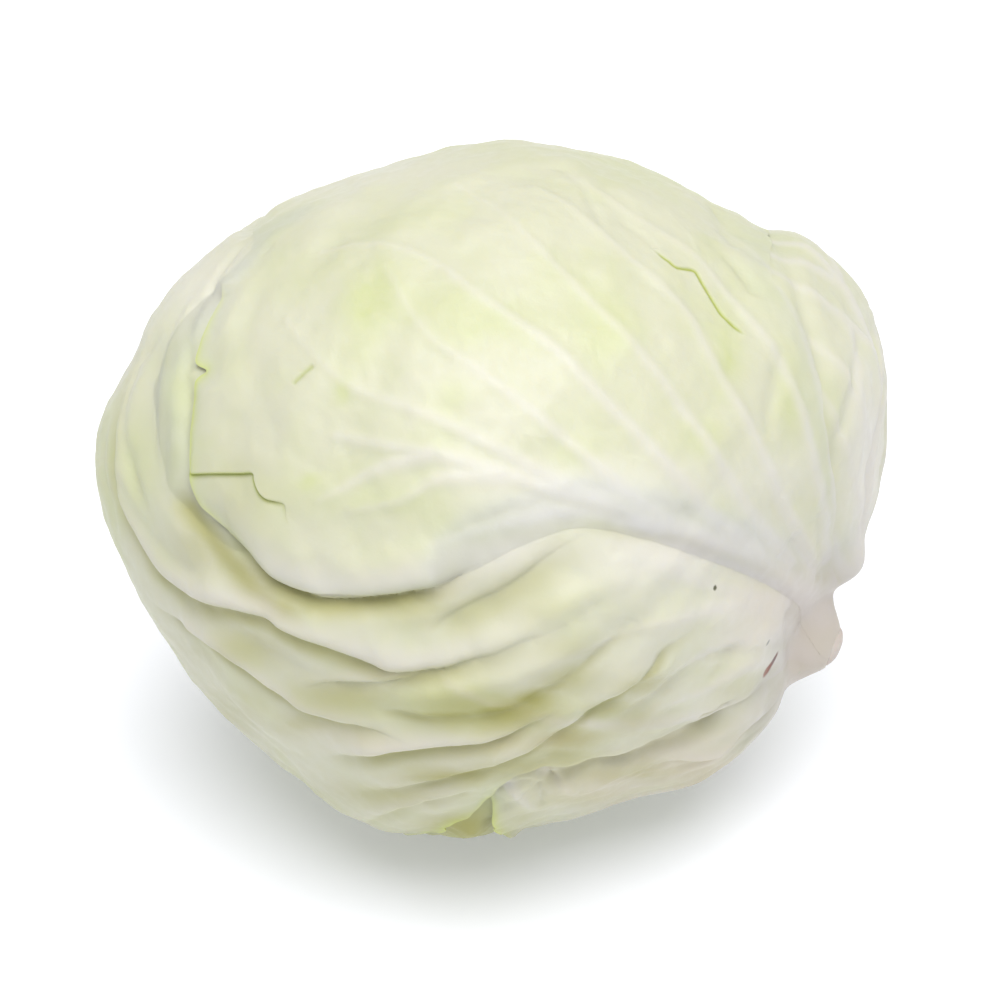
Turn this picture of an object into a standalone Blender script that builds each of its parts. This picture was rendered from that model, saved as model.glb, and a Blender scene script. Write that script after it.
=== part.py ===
"""A green cabbage lying on its side, with its cut stem pointing to the right.

A dense inner head carries a tapered stem and seven loose outer leaves. Every surface is a
distance from the middle of the head, so the leaves lie over each other like the layers of
an onion: each one starts a small gap above what is under it and ends at its own outline.

Sketch coordinates are millimetres to the right of and above the middle of the head, as seen
from the front and 33 degrees above. Head coordinates are an angle from the stem and an angle
round it, in degrees: 0 faces the viewer, 90 is the upper side and -90 the lower side.
"""

import math

import bpy
import numpy as np

MM = 0.001

# Pose of the head
VIEW_TILT = math.radians(33)
VIEW_DISTANCE = 1500.0
STEM_IN_SKETCH = (0.919, -0.394, -0.10)
HEAD_MIDDLE = (-1.55, 3.5, 82.7)

# Distance from the middle of the head to its outside, every 15 degrees away from the stem
RADIUS_STEP = 15.0
UPPER_SIDE = (84, 90, 95, 100.5, 97, 88.5, 86.3, 85, 83.8, 83.4, 84, 86.6, 89.5)
LOWER_SIDE = (84, 86.5, 85, 80.5, 81.5, 84, 85, 83.2, 84.2, 87.2, 91.3, 93.2, 89.5)
FRONT_SIDE = (84, 81.5, 79, 80.5, 83.5, 86, 86.5, 86.5, 86.5, 87, 88, 89.5, 89.5)
BACK_SIDE = (84, 87.5, 90, 90, 88.5, 87, 86, 85.5, 85, 85.5, 86.5, 88, 89.5)
MEAN_RADIUS = sum(FRONT_SIDE) / len(FRONT_SIDE)
LARGEST_RADIUS = 120.0

# Layers: a leaf thins out towards its edge, which stands a little off what is under it
GAP = 0.5
EDGE_THICKNESS = 0.9
THINNING = 12.0
LIFT_REACH = 6.0
BLEND_PAST_EDGE = 9.0

# The hole round the stem that the leaves leave, and the stem's socket in the inner head
STEM_HOLE = 12.5
STEM_HOLE_REACH = math.radians(57)
LAYERS_AT_STEM = 9.0
SOCKET_DEPTH = 52.0

# Facets: rings round the stem, closer together round the lower front, where the pleats are
FIRST_RINGS = (6.5, 9.0)
FULL_RINGS_FROM = 14.0
RING_STEP = 5.1
FACETS_ROUND = 68
FEWEST_FACETS_ROUND = 12
FINE_SIDE = -25.0
FINENESS = 0.46
CORNER_CLEARANCE = 0.16
SHARP_ANGLE = math.radians(50)

# Stem, as distance along its axis and radius
STEM_SIDES = 20
STEM_PROFILE = (
    (52.4, 4.9), (60.0, 7.0), (74.0, 10.3), (79.0, 11.3), (85.0, 11.7),
    (88.5, 11.3), (90.6, 10.0), (91.4, 8.0), (91.0, 4.0),
)

# Pleats: the crest from the far edge of the leaf towards the stem, in sketch coordinates,
# then height, width above the crest, width of the drop below it and width of the trough
PLEATS = (
    ([(-68, -1), (-61, -11), (-50, -19), (-38, -21), (-29, -22), (-17, -20), (-7, -17),
      (2, -12), (13, -8), (26, -6)], 3.6, 8.0, 6.0, 9.0),
    ([(-86, 22), (-88, 7), (-86, -1), (-82, -10), (-76, -18), (-68, -24), (-58, -29),
      (-48, -34), (-38, -38), (-24, -41), (-14, -42), (-4, -39), (7, -35), (18, -29),
      (29, -24), (38, -20), (48, -18)], 3.8, 8.0, 6.5, 9.0),
    ([(-69, -33), (-57, -42), (-48, -49), (-38, -53), (-24, -58), (-15, -60), (-4, -58),
      (7, -55), (18, -49), (25, -44), (32, -39), (43, -35), (51, -31), (58, -28)],
     3.6, 7.0, 6.0, 8.0),
    ([(-44, -62), (-22, -67), (-6, -65), (9, -60), (19, -54), (31, -47), (42, -41),
      (56, -36)], 2.6, 6.0, 5.5, 7.0),
)

TROUGH_SHARE = 0.5
FADE_SHARE = 0.14

# The leaves whose pleats take the place of side ribs
PLEATED = ("lower_leaf", "bottom_leaf")

# Soft valleys without a crest, as path, depth and width
VALLEYS = (
    ([(-14, -35), (-2, -27), (10, -20), (17, -16), (26, -11), (38, -14), (50, -18),
      (65, -24), (74, -30)], 2.2, 5.0),
    ([(-12, -53), (-2, -54), (5, -52), (12, -48), (22, -41)], 2.0, 4.5),
    ([(-46, 61), (-52, 51), (-55, 42), (-53, 31), (-52, 18), (-50, 5)], 1.2, 5.0),
)


def seen(*points):
    """Points of an outline given in sketch coordinates."""
    return [("seen", right, up) for right, up in points]


def around(*points):
    """Points of an outline given in head coordinates."""
    return [("around", from_stem, turn) for from_stem, turn in points]


# Leaves from the innermost to the outermost: outline, midrib from the stem to its tip,
# thickness, how far the edge stands off what is under it, and colour
LEAVES = {
    "under_leaf": {
        "outline": around(
            (5, -80), (25, -66), (50, -56), (75, -54), (100, -66), (125, -86),
            (142, -115), (150, -140), (142, -165), (110, 178), (80, 172), (50, 172),
            (25, 178), (5, -175)),
        "midrib": around((8, -140), (30, -136), (45, -140)),
        "thickness": 1.8, "lift": 0.5, "colour": (0.60, 0.68, 0.34),
    },
    "back_leaf": {
        "outline": around(
            (5, 55), (22, 66), (45, 76), (70, 86), (100, 92), (124, 102), (146, 118),
            (160, 148), (158, -172), (136, -158), (110, -152), (85, -152), (55, -158), (25, -170),
            (5, -160)),
        "midrib": around((8, 145), (45, 146), (85, 150), (118, 152)),
        "thickness": 1.7, "lift": 0.7, "colour": (0.74, 0.78, 0.52),
    },
    "bottom_leaf": {
        "outline": around((5, -50)) + seen(
            (72, -34), (55, -40), (35, -46), (15, -54), (2, -62), (-2, -70),
            (-1, -77)) + around((65, -90), (58, -96), (46, -95), (35, -98), (24, -99),
            (14, -106), (5, -120)),
        "midrib": around((8, -84), (30, -80), (60, -78)),
        "thickness": 1.6, "lift": 2.6, "colour": (0.76, 0.77, 0.60),
    },
    "right_leaf": {
        "outline": around(
            (5, -5), (20, 8), (40, 24), (65, 44), (85, 64), (98, 84), (92, 106), (74, 112),
            (58, 103), (46, 96), (30, 95), (18, 105), (5, 125)),
        "midrib": around((8, 62), (30, 66), (60, 76), (80, 84)),
        "thickness": 1.7, "lift": 1.0, "colour": (0.80, 0.82, 0.64),
    },
    "lower_leaf": {
        "outline": around((5, 30)) + seen(
            (74, -8), (60, 2), (40, 8), (15, 12), (-10, 10), (-32, 8), (-46, 18),
            (-50, 38), (-38, 60)) + around(
            (138, 104), (150, 125), (163, 150), (168, -175), (158, -145), (143, -128),
            (125, -116), (108, -104)) + seen(
            (-40, -76), (-31, -79), (-20, -80), (-11, -79), (-2, -76), (9, -71), (22, -66),
            (37, -61), (47, -58), (59, -52), (70, -44)) + around((5, -95)),
        "midrib": around((8, -40), (30, -38), (60, -33), (90, -30)),
        "thickness": 1.8, "lift": 1.0, "colour": (0.80, 0.80, 0.66),
    },
    "second_leaf": {
        "outline": around((5, 45)) + seen(
            (78, -2), (58, 14), (32, 30), (8, 46), (-18, 62), (-42, 66), (-62, 58),
            (-74, 41), (-80, 26), (-80, 11), (-78, 3), (-72, -6), (-66, -13), (-58, -16),
            (-45, -15), (-25, -13), (-5, -8), (20, 2), (45, -4), (70, -14)) + around((5, -35)),
        "midrib": around((8, 5), (40, 12), (80, 16), (110, 16)),
        "thickness": 1.4, "lift": 0.5, "colour": (0.79, 0.81, 0.62),
    },
    "front_leaf": {
        "outline": around((5, 70)) + seen(
            (82, -14), (81, 12), (79, 27), (76, 38), (71, 47), (67, 54)) + around(
            (70, 100), (84, 118), (108, 126), (132, 120), (146, 104)) + seen(
            (-48, 64), (-61, 57), (-67, 46), (-71, 35), (-72, 22), (-72, 8), (-70, -2),
            (-64, -9), (-56, -18), (-46, -23), (-32, -25), (-18, -24), (-6, -20),
            (8, -13), (22, -9), (38, -12), (50, -16), (65, -22), (75, -29)) + around((5, -45)),
        "midrib": seen(
            (78, -22), (65, -16), (50, -11), (38, -7), (26, -3), (12, 2), (-2, 7), (-14, 11),
            (-26, 13), (-36, 14)),
        "thickness": 1.9, "lift": 0.4, "colour": (0.84, 0.86, 0.68),
    },
}

# Ribs: the midrib, and side ribs that leave it on both sides and bend back towards its tip
MIDRIB_HEIGHT = 3.0
MIDRIB_WIDTH = 6.5
SIDE_RIB_HEIGHT = 1.7
SIDE_RIB_WIDTH = 5.0
SIDE_RIB_ROOTS = (0.08, 0.28, 0.5, 0.72)
SIDE_RIB_LEAN = 48.0
SIDE_RIB_BEND = 3.5
SIDE_RIB_STEPS = 9
SIDE_RIB_STEP = 7.0
HEIGHT_AT_TIP = 0.3
TIP_SHARE = 0.1

# The front leaf's own side ribs, from the midrib out
FRONT_SIDE_RIBS = (
    [(74, -17), (60, 22), (50, 41), (38, 56), (26, 66)],
    [(65, -12), (41, 22), (17, 48), (-5, 63)],
    [(50, -7), (17, 22), (-5, 41), (-29, 56), (-48, 58)],
    [(80, -17), (81, 10), (73, 38), (64, 54)],
    [(-14, 11), (-34, 22), (-50, 40)],
)

HEAD_COLOUR = (0.82, 0.84, 0.64)
STEM_COLOUR = (0.68, 0.63, 0.54)


def unit(vectors):
    return vectors / np.linalg.norm(vectors, axis=-1, keepdims=True)


# The sketch plane: right, up and towards the viewer, and the head's own three axes
RIGHT = np.array((1.0, 0.0, 0.0))
UP = np.array((0.0, math.sin(VIEW_TILT), math.cos(VIEW_TILT)))
TO_VIEWER = np.array((0.0, -math.cos(VIEW_TILT), math.sin(VIEW_TILT)))
SKETCH = np.array((RIGHT, UP, TO_VIEWER))
STEM_AXIS = unit(np.array(STEM_IN_SKETCH) @ SKETCH)
FRONT_AXIS = unit(TO_VIEWER - STEM_AXIS * (TO_VIEWER @ STEM_AXIS))
UPPER_AXIS = np.cross(STEM_AXIS, FRONT_AXIS)
if UPPER_AXIS @ UP < 0:
    UPPER_AXIS = -UPPER_AXIS
HEAD_AXES = np.array((STEM_AXIS, FRONT_AXIS, UPPER_AXIS))


def direction(from_stem, turn):
    """Unit vectors for head coordinates in radians."""
    local = np.stack(
        (np.cos(from_stem), np.sin(from_stem) * np.cos(turn), np.sin(from_stem) * np.sin(turn)),
        axis=-1,
    )
    return local @ HEAD_AXES


def head_angles(directions):
    local = directions @ HEAD_AXES.T
    return np.arccos(np.clip(local[..., 0], -1, 1)), np.arctan2(local[..., 2], local[..., 1])


def smooth_step(value):
    value = np.clip(value, 0, 1)
    return value * value * (3 - 2 * value)


def side_radius(side, from_stem):
    """A cubic through the values of one side that is level at both ends."""
    values = np.array((side[1],) + side + (side[-2],), float)
    place = np.clip(np.degrees(from_stem) / RADIUS_STEP, 0, len(side) - 1.0001)
    index = place.astype(int)
    t = place - index
    before, start, end, after = (values[index + k] for k in range(4))
    return start + 0.5 * t * (
        end - before + t * (2 * before - 5 * start + 4 * end - after
                            + t * (3 * (start - end) + after - before))
    )


def smooth_radius(directions):
    """The outside of the head without its pleats."""
    from_stem, turn = head_angles(directions)
    sides = [side_radius(side, from_stem)
             for side in (FRONT_SIDE, UPPER_SIDE, BACK_SIDE, LOWER_SIDE)]
    quarter = np.degrees(turn) % 360 / 90
    index = quarter.astype(int) % 4
    t = smooth_step(quarter - np.floor(quarter))
    sides = np.array(sides)
    columns = np.arange(len(index))
    return sides[index, columns] * (1 - t) + sides[(index + 1) % 4, columns] * t


def rest_radius(directions):
    """Distance to the flat surface under the head, far off where it isn't met."""
    down = np.maximum(-directions[:, 2], HEAD_MIDDLE[2] / (10 * LARGEST_RADIUS))
    return HEAD_MIDDLE[2] / down


def project(sketch_points):
    """Directions of the points where sight lines through the sketch meet the head."""
    target = np.array(sketch_points, float) @ SKETCH[:2]
    eye = TO_VIEWER * VIEW_DISTANCE
    near = np.full(len(target), 1 - LARGEST_RADIUS / VIEW_DISTANCE)
    far = np.ones(len(target))
    for _ in range(40):
        middle = (near + far) / 2
        place = eye + middle[:, None] * (target - eye)
        outside = np.linalg.norm(place, axis=1) > smooth_radius(unit(place))
        near = np.where(outside, middle, near)
        far = np.where(outside, far, middle)
    return unit(eye + near[:, None] * (target - eye))


def smooth_path(points, closed, steps=6):
    """A Catmull-Rom curve through unit vectors."""
    count = len(points)
    spans = count if closed else count - 1
    index = np.arange(-1, spans + 2)
    index = index % count if closed else np.clip(index, 0, count - 1)
    p = points[index]
    t = (np.arange(steps) / steps)[None, :, None]
    before, start, end, after = (p[k:k + spans, None] for k in range(4))
    curve = start + 0.5 * t * (
        end - before + t * (2 * before - 5 * start + 4 * end - after
                            + t * (3 * (start - end) + after - before))
    )
    curve = curve.reshape(-1, 3)
    if not closed:
        curve = np.vstack((curve, points[-1]))
    return unit(curve)


def path_offsets(directions, path):
    """Signed distance to a path over the head, positive on its left, and place along it."""
    radius = smooth_radius(directions)[:, None]
    places = directions * radius
    corners = path * smooth_radius(path)[:, None]
    start, step = corners[:-1], np.diff(corners, axis=0)
    t = ((places[:, None] - start) * step).sum(-1) / (step * step).sum(-1)
    t = np.clip(t, 0, 1)
    offset = places[:, None] - (start + t[..., None] * step)
    distance = np.linalg.norm(offset, axis=-1)
    nearest = distance.argmin(axis=1)
    rows = np.arange(len(places))
    side = np.cross(step[nearest], offset[rows, nearest])
    sign = np.where((side * directions).sum(-1) >= 0, 1.0, -1.0)
    along = (nearest + t[rows, nearest]) / len(start)
    return sign * distance[rows, nearest], along


def ends_faded(along):
    return smooth_step(along / FADE_SHARE) * smooth_step((1 - along) / FADE_SHARE)


def relief(directions):
    """Pleats and valleys, which every layer under them follows too."""
    height = np.zeros(len(directions))
    for points, crest, above, drop, trough in PLEATS:
        offset, along = path_offsets(directions, smooth_path(project(points), closed=False))
        shape = np.where(
            offset >= 0,
            np.exp(-(offset / above) ** 2),
            (1 + TROUGH_SHARE) * np.exp(-(offset / drop) ** 2)
            - TROUGH_SHARE * np.exp(-(offset / trough) ** 2),
        )
        height += crest * ends_faded(along) * shape
    for points, depth, width in VALLEYS:
        offset, along = path_offsets(directions, smooth_path(project(points), closed=False))
        height -= depth * ends_faded(along) * np.exp(-(offset / width) ** 2)
    return height


def drawn(points):
    """Directions of points given by seen or around."""
    found = []
    for kind, first, second in points:
        if kind == "seen":
            found.append(project([(first, second)])[0])
        else:
            found.append(direction(math.radians(first), math.radians(second)))
    return np.array(found)


def flat_map(directions, centre):
    """Places of directions on a map round a centre that keeps distances from it true."""
    side = unit(np.cross(centre, STEM_AXIS))
    other = np.cross(centre, side)
    across = np.stack((directions @ side, directions @ other), axis=-1)
    away = np.arccos(np.clip(directions @ centre, -1, 1))
    length = np.maximum(np.linalg.norm(across, axis=-1), 1e-9)
    return across / length[:, None] * (away * MEAN_RADIUS)[:, None]


def outline_distance(directions, outline):
    """Distance to a closed outline over the head, positive inside."""
    centre = unit(outline.sum(axis=0))
    places = flat_map(directions, centre)
    corners = flat_map(smooth_path(outline, closed=True), centre)
    start, end = corners, np.roll(corners, -1, axis=0)
    step = end - start
    t = ((places[:, None] - start) * step).sum(-1) / (step * step).sum(-1)
    t = np.clip(t, 0, 1)
    distance = np.linalg.norm(places[:, None] - (start + t[..., None] * step), axis=-1)
    x, y = places[:, :1], places[:, 1:]
    spans = (start[:, 1] > y) != (end[:, 1] > y)
    rise = np.where(step[:, 1] == 0, 1e-12, step[:, 1])
    crossed = spans & (x < start[:, 0] + (y - start[:, 1]) / rise * step[:, 0])
    inside = crossed.sum(axis=1) % 2 == 1
    return np.where(inside, 1, -1) * distance.min(axis=1)


def ring_grid():
    """Directions on rings round the stem, and the triangles between them, facing out."""
    full_rings = round((180 - FULL_RINGS_FROM) / RING_STEP)
    rings = np.radians([*FIRST_RINGS, *np.linspace(FULL_RINGS_FROM, 180 - RING_STEP, full_rings)])
    angles, turns = [0.0], [0.0]
    faces = []
    before = None
    for row, from_stem in enumerate(rings):
        count = max(FEWEST_FACETS_ROUND, round(FACETS_ROUND * math.sin(from_stem)))
        shares = (np.arange(count) + 0.5 * (row % 2)) / count
        crowding = FINENESS * math.sin(from_stem)
        steps = 2 * math.pi * shares
        members = len(angles) + np.arange(count)
        angles += [from_stem] * count
        turns += list(math.radians(FINE_SIDE) + steps - crowding * np.sin(steps))
        if before is None:
            faces += fan(0, members)
        else:
            faces += band(*before, members, shares)
        before = (members, shares)
    faces += fan(len(angles), before[0])
    angles.append(math.pi)
    turns.append(0.0)
    directions = direction(np.array(angles), np.array(turns))
    faces = np.array(faces)
    inward = np.linalg.det(directions[faces]) < 0
    faces[inward] = faces[inward][:, ::-1]
    return directions, faces


def fan(pole, ring):
    return list(zip([pole] * len(ring), ring, np.roll(ring, -1)))


def band(ring, shares, next_ring, next_shares):
    """Triangles between two rings, which may have different counts."""
    faces = []
    i, j = 0, 0
    while i < len(ring) or j < len(next_ring):
        here, there = ring[i % len(ring)], next_ring[j % len(next_ring)]
        reach = (i + 1) / len(ring) + shares[0]
        next_reach = (j + 1) / len(next_ring) + next_shares[0]
        if j == len(next_ring) or (i < len(ring) and reach <= next_reach):
            i += 1
            faces.append((here, there, ring[i % len(ring)]))
        else:
            j += 1
            faces.append((here, there, next_ring[j % len(next_ring)]))
    return faces


def clipped_shell(inner, outer, faces, distance):
    """A closed shell between two surfaces on the same triangles, kept where distance > 0."""
    points, place_of, triangles = [], {}, []

    def place(one, two):
        """The pair of points on an edge where the distance passes zero."""
        key = (min(one, two), max(one, two))
        if key not in place_of:
            a, b = key
            t = distance[a] / (distance[a] - distance[b]) if a != b else 0.0
            t = min(max(t, CORNER_CLEARANCE), 1 - CORNER_CLEARANCE) if a != b else 0.0
            place_of[key] = len(points)
            points.append(inner[a] + t * (inner[b] - inner[a]))
            points.append(outer[a] + t * (outer[b] - outer[a]))
        return place_of[key]

    for face in faces[(distance[faces] > 0).any(axis=1)]:
        corners, cut = [], []
        for one, two in zip(face, np.roll(face, -1)):
            if distance[one] > 0:
                corners.append(place(one, one))
            if (distance[one] > 0) != (distance[two] > 0):
                corners.append(place(one, two))
                cut.append((len(corners) - 1, distance[one] > 0))
        for k in range(1, len(corners) - 1):
            a, b, c = corners[0], corners[k], corners[k + 1]
            triangles.append((a + 1, b + 1, c + 1))
            triangles.append((a, c, b))
        if cut:
            leaving = next(corners[k] for k, was_inside in cut if was_inside)
            entering = next(corners[k] for k, was_inside in cut if not was_inside)
            triangles.append((leaving, entering, entering + 1))
            triangles.append((leaving, entering + 1, leaving + 1))
    return np.array(points), triangles


def material(name, colour, roughness):
    made = bpy.data.materials.new(name)
    made.use_nodes = True
    made.diffuse_color = (*colour, 1.0)
    shader = made.node_tree.nodes["Principled BSDF"]
    shader.inputs["Base Color"].default_value = (*colour, 1.0)
    shader.inputs["Roughness"].default_value = roughness
    shader.inputs["Metallic"].default_value = 0.0
    return made


def add_object(name, points, triangles, colour, roughness=0.45):
    """One closed piece, from points in millimetres round the middle of the head."""
    mesh = bpy.data.meshes.new(name)
    places = np.array(points) + HEAD_MIDDLE
    mesh.from_pydata((places * MM).tolist(), [], [tuple(map(int, t)) for t in triangles])
    mesh.shade_smooth()
    mesh.set_sharp_from_angle(angle=SHARP_ANGLE)
    mesh.materials.append(material(name, colour, roughness))
    piece = bpy.data.objects.new(name, mesh)
    bpy.context.scene.collection.objects.link(piece)
    return piece


def rib_height(directions, path, height, width):
    """A raised rib along a path, which gets lower and narrower towards its tip."""
    offset, along = path_offsets(directions, path)
    strength = 1 - (1 - HEIGHT_AT_TIP) * along
    past_tip = smooth_step((1 - along) / TIP_SHARE)
    return height * strength * past_tip * np.exp(-(offset / (width * strength)) ** 2)


def side_rib(midrib, share, side):
    """The path of a side rib that leaves the midrib at a share of its length."""
    root = int(share * (len(midrib) - 1))
    place = midrib[root]
    heading = midrib[root + 1] - place
    lean = math.radians(SIDE_RIB_LEAN) * side
    path = [place]
    for _ in range(SIDE_RIB_STEPS):
        heading = unit(heading - place * (heading @ place))
        sideways = np.cross(place, heading)
        heading = heading * math.cos(lean) + sideways * math.sin(lean)
        place = unit(place + heading * SIDE_RIB_STEP / MEAN_RADIUS)
        path.append(place)
        lean = -math.radians(SIDE_RIB_BEND) * side
    return np.array(path)


def leaf_ribs(directions, name, leaf):
    """The height of a leaf's midrib and side ribs."""
    midrib = smooth_path(drawn(leaf["midrib"]), closed=False)
    height = rib_height(directions, midrib, MIDRIB_HEIGHT, MIDRIB_WIDTH)
    if name == "front_leaf":
        side_ribs = [smooth_path(project(points), closed=False) for points in FRONT_SIDE_RIBS]
    elif name in PLEATED:
        side_ribs = []
    else:
        side_ribs = [side_rib(midrib, share, side)
                     for share in SIDE_RIB_ROOTS for side in (-1, 1)]
    for path in side_ribs:
        height = np.maximum(
            height, rib_height(directions, path, SIDE_RIB_HEIGHT, SIDE_RIB_WIDTH))
    return height


def make_leaves(directions, faces, outside):
    """The leaves from the inside out. Returns the surface that the inner head ends at."""
    resting = rest_radius(directions)
    from_stem, _ = head_angles(directions)
    hole = (outside - LAYERS_AT_STEM) * np.sin(from_stem) - STEM_HOLE
    hole[from_stem > STEM_HOLE_REACH] = LARGEST_RADIUS
    distances, shares, ribs = {}, {}, {}
    base = outside.copy()
    uncovered = np.ones(len(directions))
    for name, leaf in reversed(LEAVES.items()):
        distance = outline_distance(directions, drawn(leaf["outline"]))
        distances[name] = np.minimum(distance, hole)
        shares[name] = smooth_step(distance / BLEND_PAST_EDGE + 1)
        reached = faces[(distances[name][faces] > 0).any(axis=1)]
        shares[name][reached] = 1.0
        ribs[name] = leaf_ribs(directions, name, leaf) * uncovered
        uncovered *= 1 - shares[name]
        base -= shares[name] * (leaf["thickness"] + GAP)
    top = base.copy()
    for name, leaf in LEAVES.items():
        edge = np.clip(distances[name], 0, None)
        full = EDGE_THICKNESS + (leaf["thickness"] - EDGE_THICKNESS) * smooth_step(edge / THINNING)
        lift = leaf["lift"] * np.exp(-edge / LIFT_REACH)
        inner = top + GAP + lift
        outer = np.minimum(inner + full + ribs[name], resting)
        points, triangles = clipped_shell(
            directions * inner[:, None], directions * outer[:, None], faces, distances[name])
        add_object(name, points, triangles, leaf["colour"])
        top += np.maximum(outer - top, 0) * shares[name]
    return base


def make_head(directions, faces, base):
    """The dense ball of inner leaves, with a tapered socket where the stem runs into it."""
    from_stem, _ = head_angles(directions)
    in_socket = from_stem < math.radians(sum(FIRST_RINGS) / 2)
    radius = np.where(in_socket, SOCKET_DEPTH, base)
    add_object("inner_head", directions * radius[:, None], faces, HEAD_COLOUR)


def make_stem():
    """A turned stump along the stem axis, closed at both ends."""
    turns = 2 * math.pi * np.arange(STEM_SIDES) / STEM_SIDES
    rings = [
        along * STEM_AXIS
        + radius * (np.cos(turns)[:, None] * FRONT_AXIS + np.sin(turns)[:, None] * UPPER_AXIS)
        for along, radius in STEM_PROFILE
    ]
    points = np.vstack((*rings, STEM_PROFILE[0][0] * STEM_AXIS, STEM_PROFILE[-1][0] * STEM_AXIS))
    triangles = []
    for row in range(len(rings) - 1):
        for k in range(STEM_SIDES):
            a, b = row * STEM_SIDES + k, row * STEM_SIDES + (k + 1) % STEM_SIDES
            c, d = a + STEM_SIDES, b + STEM_SIDES
            triangles += [(a, b, d), (a, d, c)]
    last = (len(rings) - 1) * STEM_SIDES
    inner_end, cut_end = len(points) - 2, len(points) - 1
    for k in range(STEM_SIDES):
        following = (k + 1) % STEM_SIDES
        triangles.append((inner_end, following, k))
        triangles.append((cut_end, last + k, last + following))
    if np.linalg.det(HEAD_AXES) < 0:
        triangles = [face[::-1] for face in triangles]
    add_object("stem", points, triangles, STEM_COLOUR, roughness=0.6)


def make_cabbage():
    for leftover in list(bpy.data.objects):
        bpy.data.objects.remove(leftover)
    directions, faces = ring_grid()
    outside = np.minimum(smooth_radius(directions) + relief(directions), rest_radius(directions))
    base = make_leaves(directions, faces, outside)
    make_head(directions, faces, base)
    make_stem()


make_cabbage()
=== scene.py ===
import math

import bmesh
import bpy
import numpy as np
from mathutils.kdtree import KDTree
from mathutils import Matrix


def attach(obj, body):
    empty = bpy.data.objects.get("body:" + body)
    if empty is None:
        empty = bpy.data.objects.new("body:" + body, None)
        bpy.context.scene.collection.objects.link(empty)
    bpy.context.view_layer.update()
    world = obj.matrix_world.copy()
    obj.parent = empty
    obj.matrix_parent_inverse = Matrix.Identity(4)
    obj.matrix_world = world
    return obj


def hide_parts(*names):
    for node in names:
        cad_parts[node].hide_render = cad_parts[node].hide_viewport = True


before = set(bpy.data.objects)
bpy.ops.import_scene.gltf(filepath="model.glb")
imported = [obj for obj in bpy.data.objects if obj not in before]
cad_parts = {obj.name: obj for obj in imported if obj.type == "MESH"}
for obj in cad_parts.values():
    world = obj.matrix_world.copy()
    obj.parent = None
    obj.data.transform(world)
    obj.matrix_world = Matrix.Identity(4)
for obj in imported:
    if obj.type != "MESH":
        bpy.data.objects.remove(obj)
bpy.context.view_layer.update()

# Camera. It stands in front of the head and 33 degrees above, as far off as a long lens needs,
# so that the head shows from its side with the cut stem at the right.
MM = 0.001
VIEW_TILT = math.radians(33)
VIEW_DISTANCE = 1500.0
HEAD_MIDDLE = np.array((-1.55, 3.5, 82.7))
RIGHT = np.array((1.0, 0.0, 0.0))
UP = np.array((0.0, math.sin(VIEW_TILT), math.cos(VIEW_TILT)))
TO_VIEWER = np.array((0.0, -math.cos(VIEW_TILT), math.sin(VIEW_TILT)))
LENS = 225.0
FRAME_SHIFT = 0.01

camera = bpy.data.objects.new("camera", bpy.data.cameras.new("camera"))
camera.location = (HEAD_MIDDLE + TO_VIEWER * VIEW_DISTANCE) * MM
camera.rotation_euler = (math.pi / 2 - VIEW_TILT, 0.0, 0.0)
camera.data.lens = LENS
camera.data.shift_x = FRAME_SHIFT
camera.data.shift_y = -FRAME_SHIFT
bpy.context.scene.collection.objects.link(camera)
bpy.context.scene.camera = camera

# Shape of the head. It is a ball of leaves that lie over each other like the layers of an
# onion, so each surface is a distance from its middle. The distances are given every 15
# degrees away from the stem on four sides. Round the stem the leaf bases rise as a knob.
RADIUS_STEP = 15.0
UPPER_SIDE = (82.5, 89.5, 95, 100.5, 97, 87, 85.2, 84.2, 82.2, 81.9, 85.3, 88.6, 91.3)
LOWER_SIDE = (82.5, 87.2, 85.4, 80.5, 81.5, 84, 85, 82.3, 83.3, 85.9, 91.7, 95.3, 91.3)
FRONT_SIDE = (82.5, 80.5, 78.5, 80, 83, 86, 86.5, 86.5, 86.5, 87, 88, 90, 91.3)
BACK_SIDE = (82.5, 87, 90, 90, 88.5, 87, 86, 85.5, 85, 85.5, 86.5, 88.8, 91.3)
MEAN_RADIUS = sum(FRONT_SIDE) / len(FRONT_SIDE)
LARGEST_RADIUS = 120.0

# The knob: its rise, the half widths of its flat top and of its foot, how far it stands off
# the stem's axis, and the shallow neck round it as place, width and depth
KNOB_RISE = 10.3
KNOB_SHOULDER = 1.0
KNOB_FOOT = 15.0
KNOB_SHIFT = 2.3
NECK = (15.5, 3.5, 0.3)


def unit(vectors):
    return vectors / np.linalg.norm(vectors, axis=-1, keepdims=True)


# The way that the stem points: right, up and towards the viewer
STEM_IN_SKETCH = (0.919, -0.394, -0.10)
STEM_LENGTH = 91.0
SKETCH = np.array((RIGHT, UP, TO_VIEWER))
STEM_AXIS = unit(np.array(STEM_IN_SKETCH) @ SKETCH)
FRONT_AXIS = unit(TO_VIEWER - STEM_AXIS * (TO_VIEWER @ STEM_AXIS))
UPPER_AXIS = np.cross(STEM_AXIS, FRONT_AXIS)
UPPER_AXIS *= np.sign(UPPER_AXIS @ UP)
HEAD_AXES = np.array((STEM_AXIS, FRONT_AXIS, UPPER_AXIS))
KNOB_WAY = unit(STEM_AXIS * STEM_LENGTH - UPPER_AXIS * KNOB_SHIFT)


def direction(from_stem, turn):
    """Unit vectors for an angle from the stem and a turn about it, in radians."""
    across = np.sin(from_stem)
    local = (np.cos(from_stem), across * np.cos(turn), across * np.sin(turn))
    return np.stack(local, axis=-1) @ HEAD_AXES


def head_angles(directions):
    """Angles from the stem and turns about it of unit vectors, in radians."""
    local = directions @ HEAD_AXES.T
    return np.arccos(np.clip(local[..., 0], -1, 1)), np.arctan2(local[..., 2], local[..., 1])


def smooth_step(value):
    value = np.clip(value, 0, 1)
    return value * value * (3 - 2 * value)


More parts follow.
